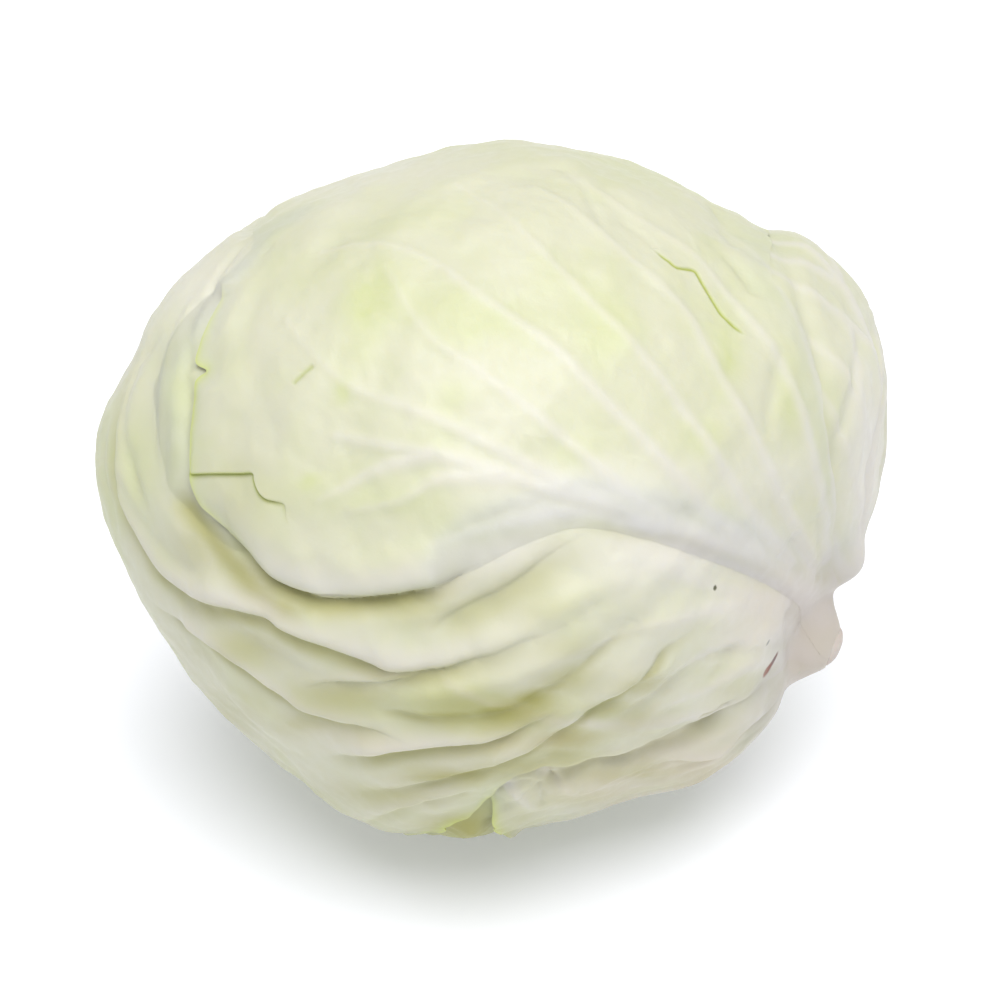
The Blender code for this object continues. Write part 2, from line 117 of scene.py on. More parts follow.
def side_radius(side, from_stem):
    """A cubic through the values of one side that is level at both ends."""
    values = np.array((side[1],) + side + (side[-2],), float)
    place = np.clip(np.degrees(from_stem) / RADIUS_STEP, 0, len(side) - 1.0001)
    index = place.astype(int)
    t = place - index
    before, start, end, after = (values[index + k] for k in range(4))
    return start + 0.5 * t * (
        end - before + t * (2 * before - 5 * start + 4 * end - after
                            + t * (3 * (start - end) + after - before))
    )


def from_knob(directions, radius):
    """Distance from the axis of the knob, far off on the other half of the head."""
    facing = directions @ KNOB_WAY
    off = radius * np.sqrt(np.maximum(1 - facing * facing, 0))
    return np.where(facing > 0, off, LARGEST_RADIUS)


def head_radius(directions):
    """The outside of the head without its folds, rising onto the knob round the stem."""
    from_stem, turn = head_angles(directions)
    sides = np.array([side_radius(side, from_stem)
                      for side in (FRONT_SIDE, UPPER_SIDE, BACK_SIDE, LOWER_SIDE)])
    quarter = np.degrees(turn) % 360 / 90
    index = quarter.astype(int) % 4
    t = smooth_step(quarter - np.floor(quarter))
    columns = np.arange(len(index))
    radius = sides[index, columns] * (1 - t) + sides[(index + 1) % 4, columns] * t
    off = from_knob(directions, radius)
    knob = 1 - smooth_step((off - KNOB_SHOULDER) / (KNOB_FOOT - KNOB_SHOULDER))
    return radius + KNOB_RISE * knob - NECK[2] * np.exp(-((off - NECK[0]) / NECK[1]) ** 2)


def rest_radius(directions):
    """Distance to the flat surface under the head, far off where it isn't met."""
    down = np.maximum(-directions[:, 2], HEAD_MIDDLE[2] / (10 * LARGEST_RADIUS))
    return HEAD_MIDDLE[2] / down


def project(sketch_points, lift=0.0):
    """Directions of the points where sight lines through the sketch meet the head.

    With a lift they are the points where the sight lines meet a skin that far above it.
    """
    target = np.array(sketch_points, float) @ SKETCH[:2]
    eye = TO_VIEWER * VIEW_DISTANCE
    near = np.full(len(target), 1 - LARGEST_RADIUS / VIEW_DISTANCE)
    far = np.ones(len(target))
    for _ in range(40):
        middle = (near + far) / 2
        place = eye + middle[:, None] * (target - eye)
        outside = np.linalg.norm(place, axis=1) > head_radius(unit(place)) + lift
        near = np.where(outside, middle, near)
        far = np.where(outside, far, middle)
    return unit(eye + near[:, None] * (target - eye))


def smooth_path(points, closed=False, steps=6):
    """A Catmull-Rom curve through unit vectors."""
    count = len(points)
    spans = count if closed else count - 1
    index = np.arange(-1, spans + 2)
    index = index % count if closed else np.clip(index, 0, count - 1)
    p = points[index]
    t = (np.arange(steps) / steps)[None, :, None]
    before, start, end, after = (p[k:k + spans, None] for k in range(4))
    curve = start + 0.5 * t * (
        end - before + t * (2 * before - 5 * start + 4 * end - after
                            + t * (3 * (start - end) + after - before))
    )
    curve = curve.reshape(-1, 3)
    if not closed:
        curve = np.vstack((curve, points[-1]))
    return unit(curve)


# Outer leaves. Seven loose leaves, thick and waxy, each grown from the stem on a broad white
# rib and wrapped round the head over the one before it. Their margins thin out and stand off
# a little, and the big lower leaf is crumpled into folds.


def seen(*points):
    """A path given in the sketch: millimetres right of and above the middle of the head."""
    return [("seen", right, up) for right, up in points]


def around(*points):
    """A path given as angle from the stem and turn about it, in degrees."""
    return [("around", from_stem, turn) for from_stem, turn in points]


def drawn(points):
    """Directions of points given by seen or around."""
    found = []
    for kind, first, second in points:
        if kind == "seen":
            found.append(project([(first, second)])[0])
        else:
            found.append(direction(math.radians(first), math.radians(second)))
    return np.array(found)


# From the innermost to the outermost: outline, midrib from the stem to its tip, thickness,
# how far the margin stands off what is under it, how wavy it is, and how green the leaf is
LEAVES = {
    "under_leaf": {
        "outline": around(
            (5, -80), (25, -66), (50, -56), (75, -54), (100, -66), (125, -86),
            (142, -115), (150, -140), (142, -165), (110, 178), (80, 172), (50, 172),
            (25, 178), (5, -175)),
        "midrib": around((8, -140), (30, -136), (60, -138), (95, -142), (125, -146)),
        "thickness": 1.8, "lift": 0.5, "wave": 1.6, "green": 0.75,
    },
    "back_leaf": {
        "outline": around(
            (5, 55), (22, 66), (45, 76), (70, 86), (100, 92), (124, 102), (146, 118),
            (160, 148), (158, -172), (136, -158), (110, -152), (85, -152), (55, -158), (25, -170),
            (5, -160)),
        "midrib": around((8, 145), (45, 146), (85, 150), (118, 152)),
        "thickness": 1.7, "lift": 0.7, "wave": 1.6, "green": 0.35,
    },
    "bottom_leaf": {
        "outline": around((5, -50)) + seen(
            (72, -34), (55, -40), (35, -46), (15, -54), (3, -61), (-1, -68), (-1.5, -73),
            (0, -77), (1.5, -80), (5, -82.5)) + around(
            (62, -91), (58, -96), (46, -95), (35, -98), (24, -99), (14, -106), (5, -120)),
        "midrib": around((8, -84), (30, -80), (60, -78)),
        "thickness": 1.6, "lift": 2.2, "wave": 1.2, "green": 0.05,
    },
    "right_leaf": {
        "outline": around(
            (5, -5), (20, 8), (40, 24), (65, 44), (85, 64), (98, 84), (92, 106), (74, 112),
            (58, 103), (46, 96), (30, 95), (18, 105), (5, 125)),
        "midrib": around((8, 62), (30, 66), (60, 76), (80, 84)),
        "thickness": 1.7, "lift": 0.8, "wave": 1.0, "green": 0.15,
    },
    "lower_leaf": {
        "outline": around((5, 30)) + seen(
            (74, -8), (60, 2), (40, 8), (15, 12), (-10, 10), (-32, 8), (-46, 18),
            (-50, 38), (-38, 60)) + around(
            (138, 104), (150, 125), (163, 150), (168, -175), (158, -145), (143, -128),
            (125, -116), (108, -104)) + seen(
            (-47, -70.5), (-43, -75), (-38, -78.5), (-33, -80.5), (-28, -82), (-21.5, -84.5),
            (-15, -83), (-9.5, -81), (-5.5, -79.5), (-1, -76.5), (3, -71.5), (11, -67.5),
            (18, -66.5), (25.5, -64.5), (30.5, -63.5), (38, -61.5), (43, -60), (47.5, -58),
            (52, -56), (56, -53.5), (59, -51.5), (66, -47), (73, -41)) + around((5, -95)),
        "midrib": around((8, -40), (30, -38), (60, -33), (90, -30)),
        "thickness": 1.8, "lift": 0.6, "wave": 0.9, "green": 0.10,
    },
    "second_leaf": {
        "outline": around((5, 25)) + seen(
            (72, -8), (56, 10), (32, 28), (8, 44), (-18, 56), (-42, 58), (-56, 57),
            (-65, 51), (-71, 45), (-75, 39.5), (-78, 33), (-81, 25.5), (-80.5, 17),
            (-79, 9), (-77.5, 3.5), (-75, -2.5), (-71, -8.5), (-65, -14), (-58, -16),
            (-45, -15), (-25, -13), (-5, -8), (20, 2), (45, -4), (70, -14)) + around((5, -35)),
        "midrib": around((8, 5), (40, 12), (80, 16), (110, 16)),
        "thickness": 1.4, "lift": 0.4, "wave": 0.7, "green": 0.20,
    },
    "front_leaf": {
        "outline": around((5, 70)) + seen(
            (82, -14), (81, 12), (79, 27), (76, 38), (71, 47), (67, 54)) + around(
            (70, 100), (84, 118), (108, 126), (132, 120), (147, 108), (154, 93)) + seen(
            (-57, 60), (-62, 54), (-66, 46.5), (-69, 40.5), (-71, 35), (-71.5, 31), (-69, 29),
            (-72, 26), (-72.5, 17), (-72.5, 6), (-71.5, -2), (-66, -9), (-56, -18), (-46, -23),
            (-32, -25), (-18, -24), (-6, -20), (8, -13), (22, -9), (38, -12), (50, -16),
            (65, -22), (75, -29)) + around((5, -45)),
        "midrib": seen(
            (83.5, -31.5), (74.5, -25), (65, -19.5), (54, -15), (45.5, -11.5), (36, -7.5),
            (26.5, -4), (14.5, 0), (2.5, 4), (-9.5, 7.5), (-19, 9.5), (-29, 11.5), (-37, 13)),
        "thickness": 1.9, "lift": 0.3, "wave": 0.5, "green": 0.16,
    },
}


def even_grid(splits):
    """Points spread over a unit sphere from a split icosahedron, and its triangles."""
    solid = bpy.data.meshes.new("icosahedron")
    shape = bmesh.new()
    bmesh.ops.create_icosphere(shape, subdivisions=1, radius=1.0)
    shape.to_mesh(solid)
    shape.free()
    corners = np.array([tuple(v.co) for v in solid.vertices])
    sides = np.array([tuple(p.vertices) for p in solid.polygons])
    bpy.data.meshes.remove(solid)
    steps = [(i, j) for i in range(splits + 1) for j in range(splits + 1 - i)]
    rank = {step: k for k, step in enumerate(steps)}
    share = np.array(steps) / splits
    local = []
    for i, j in steps:
        if i + j < splits:
            local.append((rank[i, j], rank[i + 1, j], rank[i, j + 1]))
        if i + j < splits - 1:
            local.append((rank[i + 1, j], rank[i + 1, j + 1], rank[i, j + 1]))
    a, b, c = (corners[sides[:, k]][:, None] for k in range(3))
    points = a + share[None, :, :1] * (b - a) + share[None, :, 1:] * (c - a)
    triangles = np.array(local)[None] + len(steps) * np.arange(len(sides))[:, None, None]
    _, first, merged = np.unique(
        np.round(points.reshape(-1, 3), 6), axis=0, return_index=True, return_inverse=True)
    return unit(points.reshape(-1, 3)[first]), merged.reshape(-1)[triangles.reshape(-1, 3)]


def split_near(points, triangles, chosen):
    """Halves every edge that has a chosen end, and splits the triangles along it."""
    pairs = np.sort(np.stack((triangles, np.roll(triangles, -1, axis=1)), axis=-1), axis=-1)
    keys = pairs[..., 0] * len(points) + pairs[..., 1]
    edges, index = np.unique(keys, return_inverse=True)
    index = index.reshape(keys.shape)
    ends = np.stack((edges // len(points), edges % len(points)), axis=-1)
    halved = chosen[ends].any(axis=1)
    middle = np.full(len(edges), -1)
    middle[halved] = len(points) + np.arange(halved.sum())
    points = np.vstack((points, unit(points[ends[halved]].sum(axis=1))))
    found = middle[index]
    count = (found >= 0).sum(axis=1)
    result = [triangles[count == 0]]
    a, b, c = triangles[count == 3].T
    ab, bc, ca = found[count == 3].T
    result += [np.stack(t, axis=-1)
               for t in ((a, ab, ca), (ab, b, bc), (ca, bc, c), (ab, bc, ca))]
    for turn in range(3):
        corners, halves = np.roll(triangles, -turn, axis=1), np.roll(found, -turn, axis=1)
        one = (count == 1) & (halves[:, 0] >= 0)
        a, b, c, ab = *corners[one].T, halves[one, 0]
        result += [np.stack((a, ab, c), axis=-1), np.stack((ab, b, c), axis=-1)]
        two = (count == 2) & (halves[:, 2] < 0)
        a, b, c, ab, bc = *corners[two].T, halves[two, 0], halves[two, 1]
        result += [np.stack(t, axis=-1) for t in ((ab, b, bc), (a, ab, bc), (a, bc, c))]
    return points, np.vstack(result)


# The grid of points that every leaf is cut from is closer towards the viewer
GRID_SPLITS = 78
CLOSER_IN_FRONT = 0.22
CLOSER_TO_STEM = 0.2
FAR_OFF = 1000.0

directions, faces = even_grid(GRID_SPLITS)
directions = unit(directions + CLOSER_IN_FRONT * unit(TO_VIEWER + CLOSER_TO_STEM * STEM_AXIS))


def path_offsets(path, reach):
    """Signed distance of the grid's points to a path, positive on its left, as far as reach.

    Also gives the place along the path, from 0 to 1, and the unit vector away from it.
    """
    corners = path * head_radius(path)[:, None]
    start, step = corners[:-1], np.diff(corners, axis=0)
    length = (step * step).sum(-1)
    centre = unit(path.sum(axis=0))
    spread = np.arccos(np.clip(path @ centre, -1, 1)).max() + reach / MEAN_RADIUS
    near = np.flatnonzero(directions @ centre > math.cos(spread))
    offset = np.full(len(directions), FAR_OFF)
    along = np.zeros(len(directions))
    away = np.zeros((len(directions), 3))
    for rows in np.array_split(near, max(1, len(near) // 3000)):
        place = directions[rows] * outside_smooth[rows, None]
        shadow = place @ step.T - (start * step).sum(-1)
        t = np.clip(shadow / length, 0, 1)
        square = ((place * place).sum(-1)[:, None] - 2 * place @ start.T
                  + (start * start).sum(-1) - 2 * t * shadow + t * t * length)
        nearest = square.argmin(axis=1)
        t = t[np.arange(len(rows)), nearest]
        gap = place - (start[nearest] + t[:, None] * step[nearest])
        side = (np.cross(step[nearest], gap) * directions[rows]).sum(-1)
        distance = np.linalg.norm(gap, axis=1)
        sign = np.where(side >= 0, 1.0, -1.0)
        offset[rows] = sign * distance
        along[rows] = (nearest + t) / len(start)
        away[rows] = gap * (sign / np.maximum(distance, 1e-6))[:, None]
    return offset, along, away


def flat_map(points, centre):
    """Places of directions on a map round a centre that keeps distances from it true."""
    side = unit(np.cross(centre, STEM_AXIS))
    other = np.cross(centre, side)
    across = np.stack((points @ side, points @ other), axis=-1)
    away = np.arccos(np.clip(points @ centre, -1, 1))
    length = np.maximum(np.linalg.norm(across, axis=-1), 1e-9)
    return across / length[:, None] * (away * MEAN_RADIUS)[:, None]


def outline_distance(outline):
    """Distance of the grid's points to a closed outline, positive inside it."""
    centre = unit(outline.sum(axis=0))
    start = flat_map(smooth_path(outline, closed=True), centre)
    end = np.roll(start, -1, axis=0)
    step = end - start
    length = (step * step).sum(-1)
    rise = np.where(step[:, 1] == 0, 1e-12, step[:, 1])
    found = np.empty(len(directions))
    for rows in np.array_split(np.arange(len(directions)), len(directions) // 3000):
        place = flat_map(directions[rows], centre)
        shadow = place @ step.T - (start * step).sum(-1)
        t = np.clip(shadow / length, 0, 1)
        square = ((place * place).sum(-1)[:, None] - 2 * place @ start.T
                  + (start * start).sum(-1) - 2 * t * shadow + t * t * length)
        x, y = place[:, :1], place[:, 1:]
        spans = (start[:, 1] > y) != (end[:, 1] > y)
        crossed = spans & (x < start[:, 0] + (y - start[:, 1]) / rise * step[:, 0])
        inside = crossed.sum(axis=1) % 2 == 1
        found[rows] = np.where(inside, 1, -1) * np.sqrt(np.maximum(square.min(axis=1), 0))
    return found


# Folds. Each has the crease that shows, from its far end towards the stem, then the height of
# the leaf above it, how far up the crest is and how far it reaches on, the depth and width of
# the trough below, how far the crest hangs over, and the shares of the length over which the
# fold starts and ends. Gentler ones say how they roll up, from 0.5 for a round lip, and some
# how strong the painted highlight on their crest is.
ROUND_LIP = 0.6
FOLDS = {
    "first": {
        "path": [(-76.5, -1), (-72, -6), (-65.5, -10.5), (-60, -16), (-54.5, -21.5), (-48, -24.5),
                 (-39.5, -27), (-28, -26.5), (-21.5, -25.5), (-12, -23), (-6.5, -20), (-2, -17.5)],
        "height": 2, "crest_at": 4.5, "reach": 6.5, "depth": 1.2, "width": 4,
        "hang": 0.8, "starts": 0.45, "ends": 0.25,
    },
    "valley": {
        "path": [(-15.5, -35.5), (-12, -32), (-8, -29.5), (-3, -27), (2.5, -24.5), (8.5, -20.5),
                 (14, -16), (20.5, -12), (27, -9.5)],
        "height": 1.1, "crest_at": 6, "reach": 9, "depth": 1, "width": 6,
        "hang": 0, "starts": 0.25, "ends": 0.45,
    },
    "second": {
        "path": [(-72, 53), (-77.5, 46), (-82.5, 38.5), (-86.5, 29), (-89, 21.5), (-91, 11),
                 (-90.5, 0.5), (-89, -6), (-85.5, -13), (-81.5, -19.5), (-76.5, -24), (-71, -27),
                 (-65.5, -28.5), (-60, -30), (-54.5, -31.5), (-50.5, -34), (-45.5, -36),
                 (-41, -37.5), (-36, -39.5), (-31, -41.5), (-26, -43), (-20.5, -43.5),
                 (-15, -43.5), (-10, -43), (-5.5, -41.5), (1, -39.5), (7, -36.5), (12, -35),
                 (20.5, -31), (29, -28)],
        "height": 1.8, "crest_at": 3, "reach": 5, "depth": 1, "width": 4,
        "hang": 0.35, "starts": 0.45, "ends": 0.3,
    },
    "second lip": {
        "path": [(-46.5, -48), (-40, -46.5), (-31, -46.5), (-26, -46), (-20.5, -45), (-15, -43.5)],
        "height": 0.8, "crest_at": 1.8, "reach": 3, "depth": 0.6, "width": 4,
        "hang": 0.3, "starts": 0.3, "ends": 0.3,
    },
    "third left": {
        "path": [(-84, -24), (-79, -29.5), (-74.5, -33), (-70.5, -35.5), (-65.5, -38.5),
                 (-60, -43), (-54.5, -47.5), (-49.5, -50.5), (-44, -54), (-37.5, -56),
                 (-31, -57.5), (-23.5, -59.5), (-15.5, -61)],
        "height": 1.6, "crest_at": 2.4, "reach": 3.6, "depth": 0.9, "width": 3.5,
        "hang": 0.6, "starts": 0.25, "ends": 0.3,
    },
    "third": {
        "path": [(-33, -51.5), (-27.5, -53.5), (-21.5, -54.5), (-14, -55.5), (-3.5, -55),
                 (2.5, -54), (7.5, -52.5), (13, -49), (17.5, -47), (21.5, -43.5), (26.5, -39),
                 (32.5, -34.5), (39.5, -31.5), (48, -29.5)],
        "height": 1.7, "crest_at": 8, "reach": 7, "depth": 1.2, "width": 2.2,
        "hang": 0.4, "starts": 0.2, "ends": 0.45, "roll": 1.1, "pale": 0.15,
    },
    "fourth": {
        "path": [(-43, -66), (-33.5, -65), (-24, -63.5), (-12.5, -62), (-5.5, -61), (2.5, -59.5),
                 (7, -58), (13, -55), (20.5, -51)],
        "height": 1.9, "crest_at": 2.4, "reach": 3.5, "depth": 1, "width": 4,
        "hang": 0.8, "starts": 0.25, "ends": 0.35,
    },
    "fifth": {
        "path": [(-35, -74.5), (-26.5, -73), (-15, -71.5), (-5.5, -69), (2.5, -67), (8.5, -65),
                 (14, -62), (19, -58.5), (23.5, -55), (29.5, -51), (33, -48), (37, -45),
                 (40, -42), (42.5, -38.5), (46.5, -36), (51.5, -33), (57.5, -31)],
        "height": 1.7, "crest_at": 5, "reach": 5, "depth": 1.1, "width": 2.2,
        "hang": 0.4, "starts": 0.15, "ends": 0.35, "roll": 1, "pale": 0.3,
    },
    "lip": {
        "path": [(-33.5, -79.5), (-25, -78), (-17, -76), (-9.5, -74), (-3.5, -72.5)],
        "height": 0.8, "crest_at": 2.6, "reach": 4, "depth": 0.5, "width": 4,
        "hang": 0.3, "starts": 0.3, "ends": 0.2,
    },
    "midrib": {
        "path": [(17, -5.5), (26.5, -7.5), (36, -11), (43, -13), (50.5, -15), (57.5, -18),
                 (65, -21), (71.5, -25)],
        "height": 0.25, "crest_at": 5, "reach": 11, "depth": 0.1, "width": 2,
        "hang": 0, "starts": 0.35, "ends": 0.3, "roll": 1.2,
    },
    "bottom": {
        "path": [(38.5, -68.5), (44.5, -66.5), (49, -65.5), (54, -63.5), (58.5, -60), (63, -56.5),
                 (68, -53), (71.5, -48.5)],
        "height": 1.5, "crest_at": 2.2, "reach": 5, "depth": 0.6, "width": 3,
        "hang": 0.6, "starts": 0.3, "ends": 0.3,
    },
    "tear": {
        "path": [(-72.8, 3.8), (-66, 4), (-60, 4), (-57.2, 4), (-56.6, 2.2), (-55.6, 0),
                 (-53.8, -2), (-51.4, -2.8), (-49.4, -3.6), (-49, -6.8), (-47.8, -9.2)],
        "height": 0.6, "crest_at": 0.6, "reach": 7, "depth": 0.2, "width": 1.2,
        "hang": 0.3, "starts": 0.02, "ends": 0.5,
    },
}

# Soft valleys without a crest, the splits, and ridges where the depth is below 0. Shade is how
# much olive and painted shade darken the bottom of a valley.
VALLEYS = {
    "right margin": {
        "path": [(91.5, 41.5), (93, 33.5), (94, 22.5), (93, 14.5), (91.5, 7), (90, -4), (87, -13)],
        "depth": 1.2, "width": 2.2,
    },
    "right rib": {
        "path": [(87.5, 39.5), (87, 26), (85.5, 18.5), (83.5, 12), (82.5, 2.5)],
        "depth": 0.9, "width": 2.4,
    },
    "upper right": {
        "path": [(70, 35), (69, 27.5), (67.5, 21), (66.5, 12)],
        "depth": 0.9, "width": 2.6,
    },
    "top left": {
        "path": [(54, 67.5), (56.5, 63), (60, 57.5)],
        "depth": 0.8, "width": 2,
    },
    "top right": {
        "path": [(55.5, 56.5), (59.5, 53), (62.5, 50), (63.5, 46.5)],
        "depth": 0.8, "width": 2,
    },
    "long right": {
        "path": [(68.5, 63), (72, 54.5), (75.5, 45.5), (78.5, 36), (81, 25)],
        "depth": 1.2, "width": 3,
    },
    "left rib": {
        "path": [(-70.5, 48.5), (-75, 39.5), (-78, 31), (-79, 21.5), (-79.5, 12), (-78, 3)],
        "depth": -0.7, "width": 1.7,
    },
    "left lower": {
        "path": [(-75.5, 0.5), (-73.5, -4.5), (-70.5, -9.5), (-66, -15.5), (-61, -20.5),
                 (-56, -25), (-49, -28.5), (-42, -30)],
        "depth": 1.3, "width": 3.4, "shade": 0.8,
    },
    "far left": {
        "path": [(-89.5, 5), (-86.5, -3.5), (-82, -10), (-76.5, -16.5), (-69.5, -21)],
        "depth": 0.8, "width": 2.2,
    },
    "low left": {
        "path": [(-68.5, -29.5), (-61, -34), (-54, -39), (-47, -42), (-37, -44.5)],
        "depth": 0.8, "width": 2.4,
    },
    "below second": {
        "path": [(-17, -48), (-8.5, -47), (2.5, -44.5), (13, -40.5), (24, -35)],
        "depth": -0.7, "width": 2.5,
    },
    "between": {
        "path": [(-5, -38.5), (5, -34.5), (14.5, -29.5), (24, -24), (36, -19.5)],
        "depth": -0.8, "width": 3,
    },
    "pleat outer": {
        "path": [(0.5, -76.5), (2.5, -73.5), (5, -72), (7.5, -71), (11, -70.5)],
        "depth": 0.8, "width": 0.9,
    },
    "pleat inner": {
        "path": [(2.5, -77.5), (5, -76), (7, -74), (8.5, -72)],
        "depth": 0.8, "width": 0.9,
    },
    "pleat end": {
        "path": [(11.5, -71), (12.5, -73), (12, -75.5)],
        "depth": 0.8, "width": 0.9,
    },
    "ear vein": {
        "path": [(14.5, -68), (17.5, -70), (20.5, -72)],
        "depth": -0.7, "width": 0.9,
    },
    "ear hollow": {
        "path": [(11.5, -70), (14, -69), (17, -71)],
        "depth": 1.3, "width": 1.3,
    },
    "beside rib": {
        "path": [(2.5, 1.5), (8, 0), (14, -2), (20.5, -3.5), (25.5, -4.5), (30.5, -6), (36, -7.5)],
        "depth": 0.2, "width": 1.4, "shade": 0.15,
    },
    "front side": {
        "path": [(-45, 66), (-50, 60), (-55, 51.5), (-57.5, 45.5), (-58.5, 39.5), (-58, 29.5),
                 (-55.5, 22), (-53.5, 14.5), (-50.5, 6)],
        "depth": 0.8, "width": 4.5,
    },
    "short crease": {
        "path": [(50, -54.5), (53, -53.5), (55.5, -52), (58.5, -51)],
        "depth": 0.8, "width": 1, "shade": 0.6,
    },
    "under rib": {
        "path": [(19, -8), (27, -9.5), (32, -10.5), (38, -11.5), (43, -11.5), (48, -12.5),
                 (52, -14.5), (58.5, -16.5), (63.5, -18.5), (69.5, -21), (75, -24)],
        "depth": 0.15, "width": 1.6, "shade": 0.25,
    },
    "below first": {
        "path": [(36, -26), (45.5, -24), (54, -22.5), (61, -21.5), (68.5, -23.5)],
        "depth": 0.7, "width": 4,
    },
    "lower right": {
        "path": [(24, -58.5), (32.5, -54.5), (38.5, -51), (43, -47), (47.5, -43), (52, -40.5),
                 (58.5, -38.5), (64.5, -36.5)],
        "depth": 1.1, "width": 2.6,
    },
    "under margin": {
        "path": [(6, -73.5), (13, -71), (20.5, -68.5), (26.5, -66.5), (33, -65), (38.5, -64),
                 (44.5, -62), (50.5, -59), (55.5, -55), (60, -52)],
        "depth": 2.2, "width": 3.2, "shade": 0.5,
    },
    "stem upper": {
        "path": [(72, -10), (74.5, -14), (77.5, -18.5), (79.5, -21.5)],
        "depth": 0.8, "width": 1.6,
    },
    "stem right": {
        "path": [(78, -5), (78.5, -11), (80, -17), (81, -21.5)],
        "depth": 0.9, "width": 1.6,
    },
    "left inner": {
        "path": [(-78, 39.5), (-81, 35), (-84, 30), (-85, 26.5), (-86.5, 21.5), (-87.5, 15.5),
                 (-87, 8.5), (-86, 4.5), (-83.5, -2), (-80, -8)],
        "depth": 0.9, "width": 1.8,
    },
    "left outer": {
        "path": [(-90.5, 19), (-92.5, 12.5), (-92.5, 5), (-91.5, 0), (-90.5, -6), (-89, -12)],
        "depth": 0.7, "width": 1.8,
    },
    "left margin": {
        "path": [(-57.5, 61.5), (-60.5, 58.5), (-64, 54.5), (-67, 50), (-69.5, 46), (-72, 42),
                 (-73.5, 38), (-74, 32.5), (-74, 21.5), (-74, 12), (-73.5, 5.5)],
        "depth": 0.8, "width": 1.6,
    },
    "neck": {
        "path": [(72.5, -27.5), (71.5, -31), (72, -36), (73.5, -41), (75.5, -44.5)],
        "depth": 0.8, "width": 2.6,
    },
    "split": {
        "path": [(39.6, 58), (41.2, 56.2), (42.8, 54.8), (44.8, 53.2), (48.8, 52.6), (50.6, 50.2),
                 (53.2, 46.4), (56.2, 42), (59.6, 38.6), (61.2, 37.4)],
        "depth": 0.32, "width": 0.5,
    },
    "split start": {
        "path": [(31.6, 65.2), (35.2, 62.8), (38.4, 60), (39.8, 58)],
        "depth": 0.3, "width": 1,
    },
    "tick": {
        "path": [(-47, 25), (-45.6, 26.4), (-44.2, 27.8), (-43, 28.8), (-41.8, 29.8)],
        "depth": 0.2, "width": 0.7,
    },
    "split top": {
        "path": [(14, 77.6), (17.2, 76.6), (21.6, 73.4), (23.6, 70.4), (25.6, 66), (27.8, 62.8)],
        "depth": 0.5, "width": 1.4,
    },
}

# Rises on the shoulders of the head: angle from the stem, turn, size and height
SHOULDERS = ((12, 64, 6.5, 4.2), (24, 92, 10, 0.8))

# A crest hides part of its crease, so a crease lies where its sight lines meet a skin raised
# by this share of the height of the fold
FOLD_LIFT = 0.7

# The grid is split finer beside creases, margins and tears, this many millimetres away
CREASE_REACH = (-1.2, 1.9)
MARGIN_REACH = 1.0
TEAR_REACH = 0.9
TEAR_SPLITS = 2
TEAR_SEARCH = 3.0
CREASE_SEARCH = 3.9

outlines = {name: drawn(leaf["outline"]) for name, leaf in LEAVES.items()}
outside_smooth = head_radius(directions)
near = np.zeros(len(directions), bool)
for fold in FOLDS.values():
    crease = smooth_path(project(fold["path"], FOLD_LIFT * fold["height"]))
    offset = path_offsets(crease, CREASE_SEARCH)[0]
    near |= (offset > CREASE_REACH[0]) & (offset < CREASE_REACH[1])
for outline in outlines.values():
    near |= np.abs(outline_distance(outline)) < MARGIN_REACH
directions, faces = split_near(directions, faces, near)
for _ in range(TEAR_SPLITS):
    outside_smooth = head_radius(directions)
    near = np.zeros(len(directions), bool)
    for line in (FOLDS["tear"], VALLEYS["split"], VALLEYS["tick"]):
        offset = path_offsets(smooth_path(project(line["path"])), TEAR_SEARCH)[0]
        near |= np.abs(offset) < TEAR_REACH
    directions, faces = split_near(directions, faces, near)
inward = np.linalg.det(directions[faces]) < 0
faces[inward] = faces[inward][:, ::-1]
outside_smooth = head_radius(directions)

sketch = (directions * outside_smooth[:, None]) @ SKETCH.T


def seen_patch(right, up, half_width, half_height, strength=1.0):
    """A soft spot on the side seen, from its place and half sizes in the sketch."""
    reach = ((sketch[:, 0] - right) / half_width) ** 2 + ((sketch[:, 1] - up) / half_height) ** 2
    return strength * np.exp(-reach) * (sketch[:, 2] > 0)


def marked(places):
    """The strongest of several soft spots at each point of the grid."""
    return np.max([seen_patch(*place) for place in places], axis=0)


def smooth_noise(size, seed, waves=24):
    """A smooth random height of about one unit over the grid, with bumps of a size in mm."""
    draw = np.random.default_rng(seed)
    pitch = 2 * math.pi * MEAN_RADIUS / size * draw.uniform(0.6, 1.3, (waves, 1))
    axes = unit(draw.normal(size=(waves, 3))) * pitch
    phases = draw.uniform(0, 2 * math.pi, waves)
    return np.sin(directions @ axes.T + phases).sum(axis=1) * math.sqrt(2 / waves)


# Unevenness: height, size and seed of soft lumps, which fade out at the stem, and wrinkles
# that run out from the stem and fade out within about a radian
LUMPS = ((0.4, 28.0, 11), (0.16, 11.0, 12), (0.05, 5.0, 13))
LUMPS_FADE = 50.0
WRINKLES = 9
WRINKLE_HEIGHT = 0.12
WRINKLE_END = 1.1

